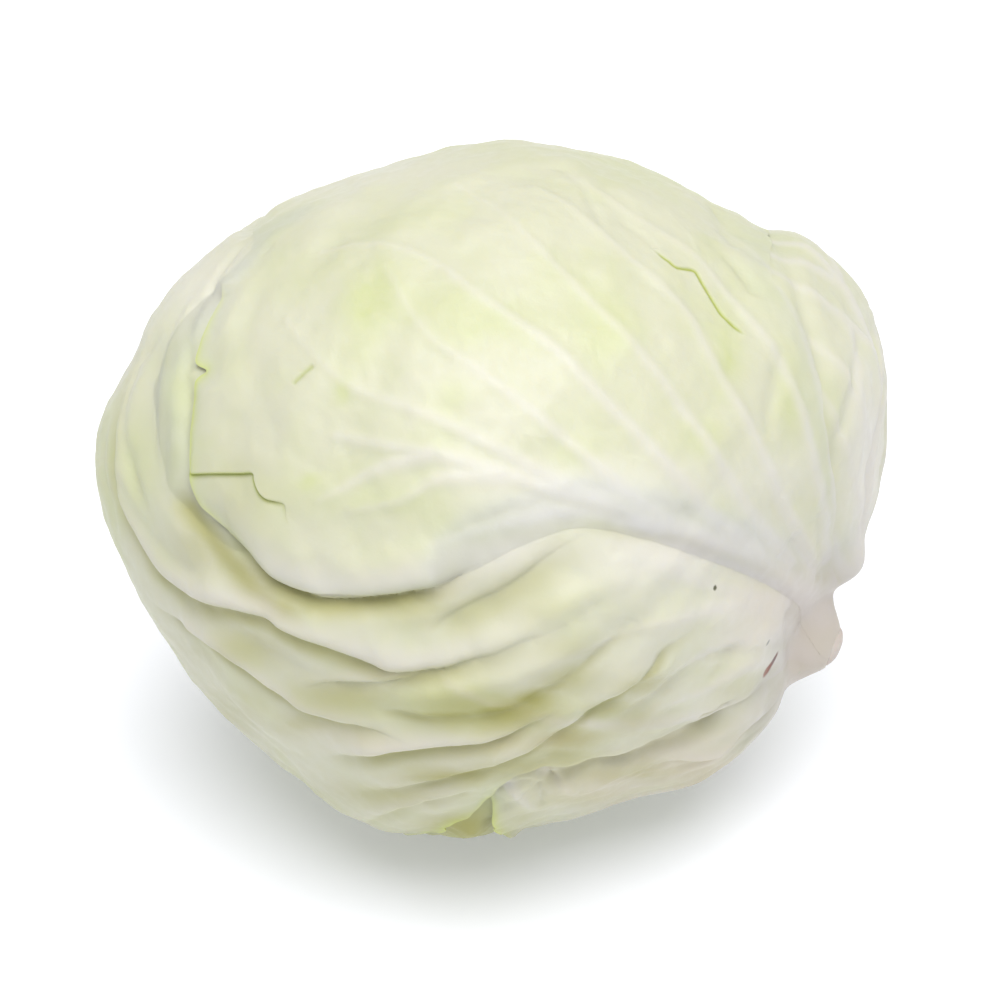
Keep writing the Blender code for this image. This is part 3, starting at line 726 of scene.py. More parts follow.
off_axis = from_knob(directions, outside_smooth)
relief = sum(height * smooth_noise(size, seed) for height, size, seed in LUMPS)
relief *= 0.2 + 0.8 * smooth_step(off_axis / LUMPS_FADE)
from_stem, turn = head_angles(directions)
draw = np.random.default_rng(17)
for _ in range(WRINKLES):
    count = int(draw.integers(26, 70))
    bend = draw.uniform(0.5, 1.5) * np.sin(draw.uniform(2, 5) * from_stem + draw.uniform(0, 6))
    shift = 0.9 * smooth_noise(60.0, seed=int(draw.integers(1000)))
    wave = np.cos(count * turn + bend + shift + draw.uniform(0, 6))
    patchy = smooth_step(0.5 + 0.6 * smooth_noise(35.0, seed=int(draw.integers(1000))))
    fading = np.exp(-(from_stem / WRINKLE_END) ** 2)
    relief += WRINKLE_HEIGHT * wave * patchy * np.sin(from_stem) * fading
for *place, size, height in SHOULDERS:
    centre = direction(*np.radians(place))
    relief += height * np.exp(-((1 - directions @ centre) * 2 * (MEAN_RADIUS / size) ** 2))

# Painted shade in the hollows between the folds and on the lowest leaves, olive and darker,
# partly the yellower tint of the sheltered blade: place, half sizes and strength
HOLLOW_SHADE_PATCHES = (
    (-21.5, -26.5, 15, 3, 0.6), (-33.5, -47.5, 15, 5, 0.6), (-9.5, -51.5, 11, 3, 0.85),
    (4, -50.5, 13, 5, 1.0), (17, -43, 8, 4, 0.6), (-5, -48, 16, 5, 0.7), (-14, -29, 14, 3, 0.3),
    (8, -26, 10, 5, 0.25), (-21.5, -71, 15, 3.5, 0.6), (4, -64.5, 15, 4, 0.7),
    (17, -58, 9, 3.5, 1.0), (17, -62, 8, 3.5, 0.65), (27, -50.5, 8, 3, 0.6),
    (34, -44.5, 7, 3.5, 0.6), (16, -35, 8, 3, 0.3), (50, -67, 12, 4, 0.5), (22, -72, 12, 3, 0.45),
    (33, -54, 10, 4, 0.45), (-58, -37, 12, 5, 0.5), (-43, -54.5, 8, 3, 0.5),
    (-58, -3, 9, 12, 0.2), (-60, -52, 9, 6, 0.3), (-9, -65.5, 12, 3, 1.0),
    (-6, -80, 10, 3.5, 1.0), (30, -67, 12, 2.5, 0.7), (62, -60, 12, 7, 0.35),
    (36, -66, 10, 3, 0.6), (-68, -13, 6, 8, 0.4), (7, -77, 6, 3, 0.3),
    (9, -48, 7, 3.5, 1.0), (60, -48, 8, 5, 0.3), (36, -67, 10, 3, 0.75),
)

# Each fold and valley changes the height of the leaf, and marks its crest for a painted
# highlight and its trough for olive with painted shade. A fold as high as FULL_FOLD has the
# full colour, and valleys fade at both ends.
FULL_FOLD = 2.5
VALLEY_ENDS = 0.15
TEAR_WIDTH = 0.6
TEAR_END = 0.5

lean = np.zeros((len(directions), 3))
crest_highlight = np.zeros(len(directions))
hollow_shade = np.zeros(len(directions))
for fold in FOLDS.values():
    reach, depth, width = fold["reach"], fold["depth"], fold["width"]
    crease = smooth_path(project(fold["path"], FOLD_LIFT * fold["height"]))
    offset, along, away = path_offsets(crease, 3 * reach)
    faded = smooth_step(along / fold["starts"]) * smooth_step((1 - along) / fold["ends"])
    climb = (1 - (1 - np.clip(offset / fold["crest_at"], 0, 1)) ** 2) ** fold.get("roll", ROUND_LIP)
    over = np.exp(-(np.maximum(offset - fold["crest_at"], 0) / reach) ** 2)
    below = np.exp(-(np.minimum(offset, 0) / width) ** 2)
    relief += faded * np.where(
        offset > 0, (fold["height"] + depth) * climb * over - depth * over, -depth * below)
    lean -= (fold["hang"] * faded * climb * over)[:, None] * away
    strength = faded * min(1, fold["height"] / FULL_FOLD)
    past_crest = (offset - fold["crest_at"]) / fold["crest_at"]
    crest_highlight_strength = fold.get("pale", 1) * strength
    crest_highlight = np.maximum(crest_highlight, crest_highlight_strength * climb * np.exp(-past_crest ** 2))
    from_bottom = (offset + 0.35 * width) / (0.75 * width)
    hollow_shade = np.maximum(hollow_shade, strength * np.exp(-from_bottom ** 2))
# Patches of painted shade darken the hollows and dim the painted highlight there
for place in HOLLOW_SHADE_PATCHES:
    patch = seen_patch(*place)
    hollow_shade = np.maximum(hollow_shade, patch)
    crest_highlight *= 1 - 0.8 * patch
offset, along, _ = path_offsets(smooth_path(project(FOLDS["tear"]["path"])), TEAR_SEARCH)
torn = smooth_step((1 - along) / TEAR_END) * np.exp(-(offset / TEAR_WIDTH) ** 2)
splits = {}
for name, valley in VALLEYS.items():
    offset, along, _ = path_offsets(smooth_path(project(valley["path"])), 3 * valley["width"])
    faded = smooth_step(along / VALLEY_ENDS) * smooth_step((1 - along) / VALLEY_ENDS)
    splits[name] = faded * np.exp(-(offset / valley["width"]) ** 2)
    relief -= valley["depth"] * splits[name]
    # A valley's shade adds olive and painted shade to its bottom
    hollow_shade = np.maximum(hollow_shade, valley.get("shade", 0) * splits[name])

# Near the stem the leaves are pressed together and blush, as far as these distances from it
BLUSH_FROM = 12.0
BLUSH_FADE = 15.0
PRESSED_WITHIN = 50.0
PRESSED_FADE = 20.0

# Where the front leaf's margin lies tight on what is under it: path, reach and how tight
HELD_MARGINS = (
    ([(-3, -18), (8, -13), (22, -9), (38, -12), (50, -15), (65, -20), (75, -27)], 9.0, 1.0),
    ([(-48, 66), (-57, 60), (-62, 54)], 5.0, 0.9),
    ([(82, -14), (81, 12), (79, 27), (76, 38), (71, 47), (67, 54), (62, 62)], 6.0, 0.65),
)

# Pinkish grey flesh towards the stem and on the lowest leaf: place, half sizes and strength
BLUSHES = (
    (76, -28, 17, 14, 0.9), (52, -66, 20, 8, 0.55), (28, -70, 16, 5, 0.45), (50, -13, 14, 4, 0.25),
    (12, -58, 14, 3, 0.3), (-30, -57, 12, 2.5, 0.3),
)

# Margins that are green, on the side seen: place and half sizes
GREEN_EDGES = (
    (-72, 20, 16, 34), (-43, -74, 9, 8), (-12, -80, 9, 7), (0, -80, 4, 8),
)

# Whiter flesh where thick ribs run together, and painted light on a few spots that the lamps
# leave too dim: place, half sizes and strength
PALE_AND_LIT_PATCHES = (
    (44, -14, 24, 9, 0.9), (62, -34, 18, 8, 0.5), (90, 4, 6, 30, 0.9), (22, 0, 30, 8, 0.7),
    (-30, 72, 30, 8, 0.3), (-70, 45, 14, 16, 0.5), (8, 22, 26, 12, 0.2), (52, -50, 12, 6, 0.4),
    (8, -14, 16, 4, 0.5), (65, 3, 9, 6, 0.5), (55, -28, 10, 5, 0.7),
)

# Greener patches between the ribs of the front leaf: place and half sizes
GREEN_PATCHES = (
    (-28.5, 43, 5, 10), (-5, 37, 7, 6), (-8.5, 21.5, 4, 4), (26.5, 35, 7, 8), (55, 31, 4, 9),
    (69.5, 21.5, 3, 10), (-33.5, 23, 2, 3.5), (-41, 2, 2.5, 2), (-84, 6, 9, 16),
    (-7, -48, 15, 5), (19, 7, 5, 4), (48, 11, 6, 5), (-7, 38, 10, 7), (-25, 47, 4, 8),
    (-18, -2, 14, 5), (-73, 24, 5, 16),
)

resting = rest_radius(directions)
outside = np.minimum(outside_smooth + relief, resting)
near_stem = np.exp(-np.maximum(off_axis - BLUSH_FROM, 0) / BLUSH_FADE)
near_stem = np.maximum(near_stem, marked(BLUSHES))
pressed = smooth_step((PRESSED_WITHIN - off_axis) / PRESSED_FADE)
held_down = np.zeros(len(directions))
for path, reach, strength in HELD_MARGINS:
    offset = np.abs(path_offsets(smooth_path(project(path)), 2 * reach)[0])
    held_down = np.maximum(held_down, strength * smooth_step(2 - offset / reach))
green_patches = marked(GREEN_PATCHES)
green_edges = marked(GREEN_EDGES)
pale = marked(PALE_AND_LIT_PATCHES)

# Edges that turn by more than this stay sharp, so that the rim of a leaf shows. A margin cuts
# an edge of the grid no nearer to its ends than this share, so that no sliver is left.
RIM_ANGLE = math.radians(62)
LEAST_CUT = 0.06


def new_mesh(name, points, triangles):
    """A smooth-shaded mesh from points in millimetres round the middle of the head."""
    mesh = bpy.data.meshes.new(name)
    mesh.vertices.add(len(points))
    mesh.vertices.foreach_set("co", ((points + HEAD_MIDDLE) * MM).ravel())
    mesh.loops.add(3 * len(triangles))
    mesh.loops.foreach_set("vertex_index", triangles.ravel().astype(np.int32))
    mesh.polygons.add(len(triangles))
    mesh.polygons.foreach_set("loop_start", np.arange(0, 3 * len(triangles), 3, dtype=np.int32))
    mesh.update(calc_edges=True)
    mesh.shade_smooth()
    mesh.set_sharp_from_angle(angle=RIM_ANGLE)
    return mesh


def shell(name, inner, outer, distance, marks):
    """A closed leaf between two surfaces over the grid, kept where the distance is over 0."""
    total = len(directions)
    inside = distance > 0
    count = inside[faces].sum(axis=1)
    mixed = faces[(count == 1) | (count == 2)]
    pairs = np.stack((mixed, np.roll(mixed, -1, axis=1)), axis=-1).reshape(-1, 2)
    pairs = np.sort(pairs[inside[pairs[:, 0]] != inside[pairs[:, 1]]], axis=1)
    keys = np.unique(pairs[:, 0] * total + pairs[:, 1])
    one, two = keys // total, keys % total
    t = distance[one] / (distance[one] - distance[two])
    t = np.clip(t, LEAST_CUT, 1 - LEAST_CUT)[:, None]

    def cut(a, b):
        return total + np.searchsorted(keys, np.minimum(a, b) * total + np.maximum(a, b))

    def extended(values):
        return np.concatenate((values, values[one] + t * (values[two] - values[one])))

    triangles, rims = [faces[count == 3]], []
    for roll in range(3):
        a, b, c = np.roll(faces[count == 1], -roll, axis=1).T
        chosen = inside[a]
        a, b, c = a[chosen], b[chosen], c[chosen]
        ab, ac = cut(a, b), cut(a, c)
        triangles.append(np.stack((a, ab, ac), axis=-1))
        rims.append(np.stack((ab, ac), axis=-1))
        a, b, c = np.roll(faces[count == 2], -roll, axis=1).T
        chosen = ~inside[a]
        a, b, c = a[chosen], b[chosen], c[chosen]
        ab, ac = cut(a, b), cut(a, c)
        triangles += [np.stack((b, c, ac), axis=-1), np.stack((b, ac, ab), axis=-1)]
        rims.append(np.stack((ac, ab), axis=-1))
    top = np.vstack(triangles)
    rim = np.vstack(rims)
    used, top = np.unique(top, return_inverse=True)
    top = top.reshape(-1, 3)
    rim = np.searchsorted(used, rim)
    under = len(used)
    u, v = rim.T
    wall = np.vstack((np.stack((v, u, u + under), axis=-1),
                      np.stack((v, u + under, v + under), axis=-1)))
    everything = np.vstack((top, top[:, ::-1] + under, wall))
    points = np.vstack([extended(directions * surface[:, None] + lean)[used]
                        for surface in (outer, inner)])
    points[:, 2] = np.maximum(points[:, 2], -HEAD_MIDDLE[2])
    mesh = new_mesh(name, points, everything)
    for mark, values in marks.items():
        column = extended(values.reshape(total, -1))[used]
        below = np.zeros_like(column) if mark == "raised" else column
        both = np.concatenate((column, below)).ravel()
        if values.ndim == 2:
            mesh.attributes.new(mark, "FLOAT_VECTOR", "POINT").data.foreach_set("vector", both)
        else:
            mesh.attributes.new(mark, "FLOAT", "POINT").data.foreach_set("value", both)
    return mesh


# Ribs of the leaves: a midrib, side ribs that leave it, and veins between those, each a ridge
# along a path. Half widths are at the root and at the tip, steepness is the height of a ridge
# by its half width, and ridges that meet merge over a height in millimetres.
LEVELS = ("Midrib", "Side ribs", "Veins")
HALF_WIDTHS = ((4.4, 1.8), (2.8, 1.3), (0.8, 0.4))
RIB_STEEPNESS = 0.26
RIB_MERGING = 0.25


def add(tree, kind, settings=None, inputs=None, output=0):
    """Adds a node with its settings and links, and gives one of its outputs."""
    made = tree.nodes.new(kind)
    for name, value in (settings or {}).items():
        setattr(made, name, value)
    for name, value in (inputs or {}).items():
        if isinstance(value, bpy.types.NodeSocket):
            tree.links.new(value, made.inputs[name])
        else:
            made.inputs[name].default_value = value
    return made.outputs[output] if len(made.outputs) else made


def rib_tree():
    """Raises ribs along paths laid over a leaf, and stores where they are for its colour."""
    tree = bpy.data.node_groups.new("raised ribs", "GeometryNodeTree")
    sockets = {}
    given = {}
    kinds = [("Leaf", "Geometry"), *((level, "Object") for level in LEVELS),
             ("Steepness", "Float"), ("Merging", "Float"), ("Middle", "Vector"),
             ("Finish", "Material")]
    for name, kind in kinds:
        made = tree.interface.new_socket(
            name, in_out="INPUT", socket_type="NodeSocket" + kind)
        sockets[name] = made.identifier
    tree.interface.new_socket("Leaf", in_out="OUTPUT", socket_type="NodeSocketGeometry")
    group = add(tree, "NodeGroupInput").node
    for name, _ in kinds:
        given[name] = group.outputs[name]
    laid = add(tree, "GeometryNodeInputNamedAttribute", {"data_type": "FLOAT_VECTOR"},
               {"Name": "laid"})
    half_width = add(tree, "GeometryNodeInputNamedAttribute", {"data_type": "FLOAT"},
                     {"Name": "half_width"})
    raised = add(tree, "GeometryNodeInputNamedAttribute", {"data_type": "FLOAT"},
                 {"Name": "raised"})
    height = None
    for level in LEVELS:
        paths = add(tree, "GeometryNodeObjectInfo", None, {"Object": given[level]}, "Geometry")
        distance = add(tree, "GeometryNodeProximity", {"target_element": "EDGES"},
                       {"Geometry": paths, "Sample Position": laid}, "Distance")
        nearest = add(tree, "GeometryNodeSampleNearest", {"domain": "POINT"},
                      {"Geometry": paths, "Sample Position": laid})
        width = add(tree, "GeometryNodeSampleIndex", {"data_type": "FLOAT", "domain": "POINT"},
                    {"Geometry": paths, "Value": half_width, "Index": nearest})
        share = add(tree, "ShaderNodeMath", {"operation": "DIVIDE"}, {0: distance, 1: width})
        power = add(tree, "ShaderNodeMath", {"operation": "MULTIPLY"}, {0: share, 1: share})
        power = add(tree, "ShaderNodeMath", {"operation": "MULTIPLY"}, {0: power, 1: -1.0})
        bell = add(tree, "ShaderNodeMath", {"operation": "EXPONENT"}, {0: power})
        ridge = add(tree, "ShaderNodeMath", {"operation": "MULTIPLY"}, {0: bell, 1: width})
        ridge = add(tree, "ShaderNodeMath", {"operation": "MULTIPLY"},
                    {0: ridge, 1: given["Steepness"]})
        height = ridge if height is None else add(
            tree, "ShaderNodeMath", {"operation": "SMOOTH_MAX"},
            {0: height, 1: ridge, 2: given["Merging"]})
    stored = add(tree, "GeometryNodeStoreNamedAttribute", {"data_type": "FLOAT", "domain": "POINT"},
                 {"Geometry": given["Leaf"], "Name": "rib", "Value": height})
    out = add(tree, "ShaderNodeVectorMath", {"operation": "SUBTRACT"},
              {0: add(tree, "GeometryNodeInputPosition"), 1: given["Middle"]})
    out = add(tree, "ShaderNodeVectorMath", {"operation": "NORMALIZE"}, {0: out})
    height = add(tree, "ShaderNodeMath", {"operation": "MULTIPLY"}, {0: height, 1: raised})
    out = add(tree, "ShaderNodeVectorMath", {"operation": "SCALE"}, {0: out, "Scale": height})
    moved = add(tree, "GeometryNodeSetPosition", None, {"Geometry": stored, "Offset": out})
    real = add(tree, "GeometryNodeRealizeInstances", None, {"Geometry": moved})
    done = add(tree, "GeometryNodeSetMaterial", None,
               {"Geometry": real, "Material": given["Finish"]})
    tree.links.new(done, add(tree, "NodeGroupOutput").inputs[0])
    return tree, sockets


# On a leaf that hardly shows, side ribs leave the midrib at these shares of its length. Leans
# and bends are in degrees, spacings and steps in millimetres.
SIDE_RIB_ROOTS = (0.06, 0.2, 0.34, 0.48, 0.62, 0.76, 0.9)
SIDE_RIB_LEAN = 48.0
SIDE_RIB_BEND = 3.0
SIDE_RIB_STEP = 4.0
SIDE_RIB_STEPS = 18
VEIN_SPACING = 8.0
VEIN_LEAN = 52.0
VEIN_STEPS = 5
VEIN_STEP = 2.4
PATH_STEP = 0.8


def branch(path, share, side, lean, bend, step, steps):
    """A path that leaves another at a share of its length and bends back along it."""
    root = min(int(share * (len(path) - 1)), len(path) - 2)
    place = path[root]
    heading = path[root + 1] - place
    angle = math.radians(lean) * side
    found = [place]
    for _ in range(steps):
        heading = unit(heading - place * (heading @ place))
        heading = heading * math.cos(angle) + np.cross(place, heading) * math.sin(angle)
        place = unit(place + heading * step / MEAN_RADIUS)
        found.append(place)
        angle = -math.radians(bend) * side
    return smooth_path(np.array(found))


def length_of(path):
    """Length over the head of a path of unit vectors, in millimetres."""
    return MEAN_RADIUS * np.linalg.norm(np.diff(path, axis=0), axis=1).sum()


def path_object(name, runs):
    """Bare edges along runs over the smooth head, each with its half width at both ends."""
    points, edges, widths = [], [], []
    for path, wide, narrow in runs:
        count = max(3, int(length_of(path) / PATH_STEP))
        share = np.linspace(0, 1, count)
        at = share * (len(path) - 1)
        low = np.minimum(at.astype(int), len(path) - 2)
        even = unit(path[low] + (at - low)[:, None] * (path[low + 1] - path[low]))
        first = len(points)
        points += list(even * head_radius(even)[:, None] * MM)
        edges += [(first + k, first + k + 1) for k in range(count - 1)]
        widths += list((wide + (narrow - wide) * share) * MM)
    mesh = bpy.data.meshes.new(name)
    mesh.from_pydata(points, edges, [])
    mesh.attributes.new("half_width", "FLOAT", "POINT").data.foreach_set("value", widths)
    return bpy.data.objects.new(name, mesh)


# Side ribs of the front leaf, from the midrib or the stem out
FRONT_RIBS = (
    [(83.5, -26.5), (83, -17), (82, -2.5), (81.5, 12), (79, 24), (75.5, 36), (71, 45.5),
     (66, 54), (60, 60), (54, 66)],
    [(78, -20.5), (72, -7), (66, 6), (61, 17), (56.5, 25), (51.5, 33.5), (48, 41), (42, 48),
     (35, 54.5), (26.5, 62), (18, 68.5), (9.5, 73)],
    [(72, -18), (63.5, -7), (55.5, 5), (49, 15.5), (42, 25), (33.5, 35), (25, 44.5), (17, 53),
     (8.5, 61), (0, 68.5), (-8.5, 73)],
    [(65, -15.5), (54, -7), (43, 5), (33.5, 15.5), (24, 25), (14.5, 35), (5, 42),
     (-3.5, 47.5), (-12, 54), (-21.5, 57.5), (-32.5, 58.5), (-41, 57.5)],
    [(50.5, -12), (38.5, -5), (26.5, 5), (15.5, 14.5), (5, 23), (-6, 31), (-14.5, 37),
     (-20.5, 45.5), (-25, 53.5)],
    [(26.5, -3.5), (14.5, 2.5), (2.5, 9.5), (-9.5, 15.5), (-21.5, 20.5), (-33.5, 25),
     (-43, 33.5), (-49, 41)],
    [(81, -17), (78, 2.5), (74.5, 19), (69.5, 31), (63.5, 39.5), (56.5, 48), (48, 56.5),
     (38.5, 63.5), (29, 69.5), (19, 75.5)],
    [(26.5, -3.5), (12, -6), (-2.5, -9.5), (-14.5, -13)],
    [(2.5, 3.5), (-12, 2.5), (-21.5, -2.5), (-33.5, -5)],
    [(-14.5, 8.5), (-26.5, 5), (-36, 0), (-41, -2.5)],
)

# Ribs that show on the leaves under the front one
SMOOTH_LEAVES = {
    "lower_leaf": (
        [(76, -35), (68, -33.5), (61.5, -35.5), (55, -38), (49, -41), (43, -44), (39.5, -46.5),
         (35.5, -48)],
        [(72, -40), (62.5, -41), (56, -44.5), (52, -47.5), (45.5, -50.5), (41, -52.5),
         (36, -56.5), (30.5, -60)],
        [(72, -27), (60, -25), (48, -21), (44, -18.5), (36, -17), (28, -17)],
        [(70, -29), (58, -28), (44, -31), (34, -33.5), (22, -38)],
    ),
    "bottom_leaf": (
        [(66, -49), (58, -56), (50, -61), (42, -64), (32, -67)],
        [(64, -53), (54, -62), (44, -66.5), (34, -69.5), (22, -72)],
        [(60, -59), (48, -67), (38, -71), (26, -73.5)],
        [(13, -68.5), (17, -70.5), (21, -73)],
        [(5, -72), (9, -75), (12, -76.5)],
    ),
}

# The rib along the right-hand margin, beside the ones that branch off
RIGHT_RIB = [(86, 40), (88.5, 25), (88.5, 8), (86.5, -8), (85, -20)]


def rib_paths(name, leaf, seed):
    """The midrib, side ribs and veins of a leaf, each with its half width at both ends."""
    draw = np.random.default_rng(seed)
    midrib = smooth_path(drawn(leaf["midrib"]))
    if name == "front_leaf":
        side_ribs = [smooth_path(project(path)) for path in FRONT_RIBS]
    elif name in SMOOTH_LEAVES:
        side_ribs = [smooth_path(project(path)) for path in SMOOTH_LEAVES[name]]
    else:
        side_ribs = [branch(midrib, root + draw.uniform(0, 0.06), side, SIDE_RIB_LEAN,
                            SIDE_RIB_BEND, SIDE_RIB_STEP, SIDE_RIB_STEPS)
                     for root in SIDE_RIB_ROOTS for side in (-1, 1)]
    if name == "right_leaf":
        side_ribs.append(smooth_path(project(RIGHT_RIB)))
    veins = []
    for path in (midrib, *side_ribs):
        count = int(length_of(path) / VEIN_SPACING)
        for k in range(count):
            for side in (-1, 1):
                share = (k + draw.uniform(0.2, 0.9)) / count
                veins.append(branch(path, share, side, VEIN_LEAN * draw.uniform(0.8, 1.2),
                                    draw.uniform(2, 9), VEIN_STEP,
                                    VEIN_STEPS + int(draw.integers(0, 4))))
    return [[(path, *half_widths) for path in paths]
            for paths, half_widths in zip(((midrib,), side_ribs, veins), HALF_WIDTHS)]


# Colours of the leaves: flesh, ribs, the whiter roots of the leaves that also stand for painted
# light, a painted highlight on the crests of the folds, olive with painted shade in their
# hollows, the blush at the stem, green margins, and the green of splits with painted shade in
# them
FLESH = "#C1C0AE"
FLESH_GREEN = "#B7BC8E"
FLESH_YELLOW = "#C0BFA2"
RIB_WHITE = "#C7C4BC"
ROOT_WHITE_AND_LIGHT = "#D1CEC4"
CREST_HIGHLIGHT = "#C8C3BD"
OLIVE_SHADE = "#938F42"
STEM_PINK = "#C9BDAD"
EDGE_GREEN = "#BAC468"
# The split green is partly the torn edge's own green and partly painted shade inside the cracks
SPLIT_GREEN_AND_SHADE = "#96A03C"
RAGGED_SPECK = 0.0006


def colour(code):
    """Linear values of an sRGB hex colour."""
    parts = [int(code[k:k + 2], 16) / 255 for k in (1, 3, 5)]
    return (*(p / 12.92 if p <= 0.04045 else ((p + 0.055) / 1.055) ** 2.4 for p in parts), 1.0)


def waxy_leaf(name, greenness, specks=()):
    """Fresh cabbage leaf: pale flesh under a thin dull wax, paler on its ribs.

    The wax spreads the highlight, and light goes a few millimetres into the flesh. Specks are
    small brown marks with an edge as ragged as RAGGED_SPECK.
    """
    made = bpy.data.materials.new(name)
    made.use_nodes = True
    tree = made.node_tree
    shader = tree.nodes["Principled BSDF"]
    place = add(tree, "ShaderNodeTexCoord", output="Object")
    rib, crest_highlights, hollow_shades, pale, green, stem, edge, split = (
        add(tree, "ShaderNodeAttribute", {"attribute_name": mark}, output="Fac")
        for mark in ("rib", "crest_highlight", "hollow_shade", "pale", "green", "stem", "edge", "split"))
    rib = add(tree, "ShaderNodeMapRange", {"interpolation_type": "SMOOTHSTEP"},
              {"Value": rib, "From Min": 0.0001, "From Max": 0.0010, "To Max": 0.85})
    cloud = add(tree, "ShaderNodeTexNoise", None,
                {"Vector": place, "Scale": 1 / 0.022, "Detail": 3.0, "Roughness": 0.55})
    cloud = add(tree, "ShaderNodeMapRange", {"interpolation_type": "SMOOTHSTEP"},
                {"Value": cloud, "From Min": 0.38, "From Max": 0.68})
    between = add(tree, "ShaderNodeMath", {"operation": "SUBTRACT"}, {0: 1.0, 1: rib})
    cloud = add(tree, "ShaderNodeMath", {"operation": "MULTIPLY"}, {0: cloud, 1: between})
    cloud = add(tree, "ShaderNodeMath", {"operation": "MULTIPLY"},
                {0: cloud, 1: 0.3 + 0.5 * greenness})
    greener = add(tree, "ShaderNodeMath", {"operation": "ADD", "use_clamp": True},
                  {0: cloud, 1: green})
    mottle = add(tree, "ShaderNodeTexNoise", None,
                 {"Vector": place, "Scale": 1 / 0.003, "Detail": 4.0, "Roughness": 0.6})
    mottle = add(tree, "ShaderNodeMapRange", None,
                 {"Value": mottle, "From Min": 0.35, "From Max": 0.7, "To Max": 0.3})
    shade = colour(FLESH)
    # Troughs are olive with painted shade, crests a painted highlight, pale patches partly painted
    # light and splits partly painted shade
    layers = ((greener, FLESH_GREEN), (mottle, FLESH_YELLOW), (pale, ROOT_WHITE_AND_LIGHT), (rib, RIB_WHITE),
              (hollow_shades, OLIVE_SHADE), (crest_highlights, CREST_HIGHLIGHT), (stem, STEM_PINK),
              (edge, EDGE_GREEN), (split, SPLIT_GREEN_AND_SHADE))
    for amount, code in layers:
        shade = add(tree, "ShaderNodeMix", {"data_type": "RGBA"},
                    {0: amount, 6: shade, 7: colour(code)}, 2)
    ragged = add(tree, "ShaderNodeTexNoise", None,
                 {"Vector": place, "Scale": 1 / 0.0012, "Detail": 2.0}, "Color")
    ragged = add(tree, "ShaderNodeVectorMath", {"operation": "SCALE"},
                 {0: ragged, "Scale": RAGGED_SPECK})
    way = add(tree, "ShaderNodeVectorMath", {"operation": "ADD"}, {0: place, 1: ragged})
    way = add(tree, "ShaderNodeVectorMath", {"operation": "SUBTRACT"},
              {0: way, 1: tuple(HEAD_MIDDLE * MM + RAGGED_SPECK / 2)})
    way = add(tree, "ShaderNodeVectorMath", {"operation": "NORMALIZE"}, {0: way})
    for right, up, radius, code in specks:
        centre = project([(right, up)])[0]
        away = add(tree, "ShaderNodeVectorMath", {"operation": "DISTANCE"},
                   {0: way, 1: tuple(centre)}, "Value")
        amount = add(tree, "ShaderNodeMapRange", {"interpolation_type": "SMOOTHSTEP"},
                     {"Value": away, "From Min": 1.3 * radius / MEAN_RADIUS,
                      "From Max": 0.4 * radius / MEAN_RADIUS})
        shade = add(tree, "ShaderNodeMix", {"data_type": "RGBA"},
                    {0: amount, 6: shade, 7: colour(code)}, 2)
    tree.links.new(shade, shader.inputs["Base Color"])
    rough = add(tree, "ShaderNodeMapRange", None,
                {"Value": mottle, "From Max": 0.3, "To Min": 0.42, "To Max": 0.58})
    tree.links.new(rough, shader.inputs["Roughness"])
    grain = add(tree, "ShaderNodeTexNoise", None,
                {"Vector": place, "Scale": 1 / 0.0011, "Detail": 3.0})
    bump = add(tree, "ShaderNodeBump", None,
               {"Strength": 0.35, "Distance": 0.0001, "Height": grain})
    tree.links.new(bump, shader.inputs["Normal"])
    shader.inputs["Subsurface Weight"].default_value = 0.22
    shader.inputs["Subsurface Radius"].default_value = (1.0, 0.8, 0.4)
    shader.inputs["Subsurface Scale"].default_value = 0.004
    shader.inputs["Specular IOR Level"].default_value = 0.35
    return made


# Small brown marks: place in the sketch, half size in millimetres and colour
SPECKS = {
    "lower_leaf": (
        (54.7, -23.8, 0.7, "#55533A"), (65.8, -36.2, 1.0, "#8F8D84"), (66.6, -51.6, 1.1, "#857B6C"),
        (68.7, -40.0, 1.3, "#6E4A36"), (68.2, -41, 1.6, "#5E3020"), (67.6, -42.2, 2.0, "#4E2A1C"),
        (67.1, -43.2, 2.3, "#7A3A24"), (66.6, -43.9, 1.6, "#8E5A44"),
    ),
}

# How leaves lie on each other: the gap under each, their thickness at the margin and how far
# in it grows to the full one, how far a margin's lift and flare fade in, how far each leaf
# bridges what is under it and blends out past its margin, the hole that the stem goes
# through, and the share of a leaf's thickness that is left where it is pressed
GAP = 0.35
EDGE_THICKNESS = 0.45
THINNING = 10.0
LIFT_REACH = 5.0
BLEND_PAST_EDGE = 7.0
HOLE_ROUND_STEM = 5.4
PRESSED_THICKNESS = 0.03
FLARE_REACH = 3.0
BRIDGE_REACH = 7.0

# A margin's lift wanders: its mean, how much it varies and over what length, and the most
MEAN_CURL = 0.55
CURL_CHANGE = 0.45
CURL_LENGTH = 18.0
MOST_CURL = 1.6

# Ribs flatten towards a margin, towards the stem, where a leaf is held down and where it
# rests on the floor
RIBS_FROM_EDGE = 8.0
RIBS_AT_STEM = 0.15
RIBS_FROM_STEM = 14.0
RIBS_STEM_FADE = 30.0
RIBS_HELD_LOSS = 0.5
RESTING_FADE = 3.0

# Where a margin stands well off the head: leaf, place, half sizes and height
FLARES = {
    "lower_leaf": ((-22, -82, 7, 4, 2.2), (30, -64, 24, 8, 1.3), (-43, -75, 5, 4, 1.8)),
    "bottom_leaf": ((5, -80, 5, 5, 1.6),),
}

# Margins wander in and out: height, size and seed of two waves. The second leaf lies tight
# along its whole margin.
RAGGED_MARGIN = ((0.45, 15.0, 40), (0.16, 5.0, 60))
SECOND_HELD = 12.0

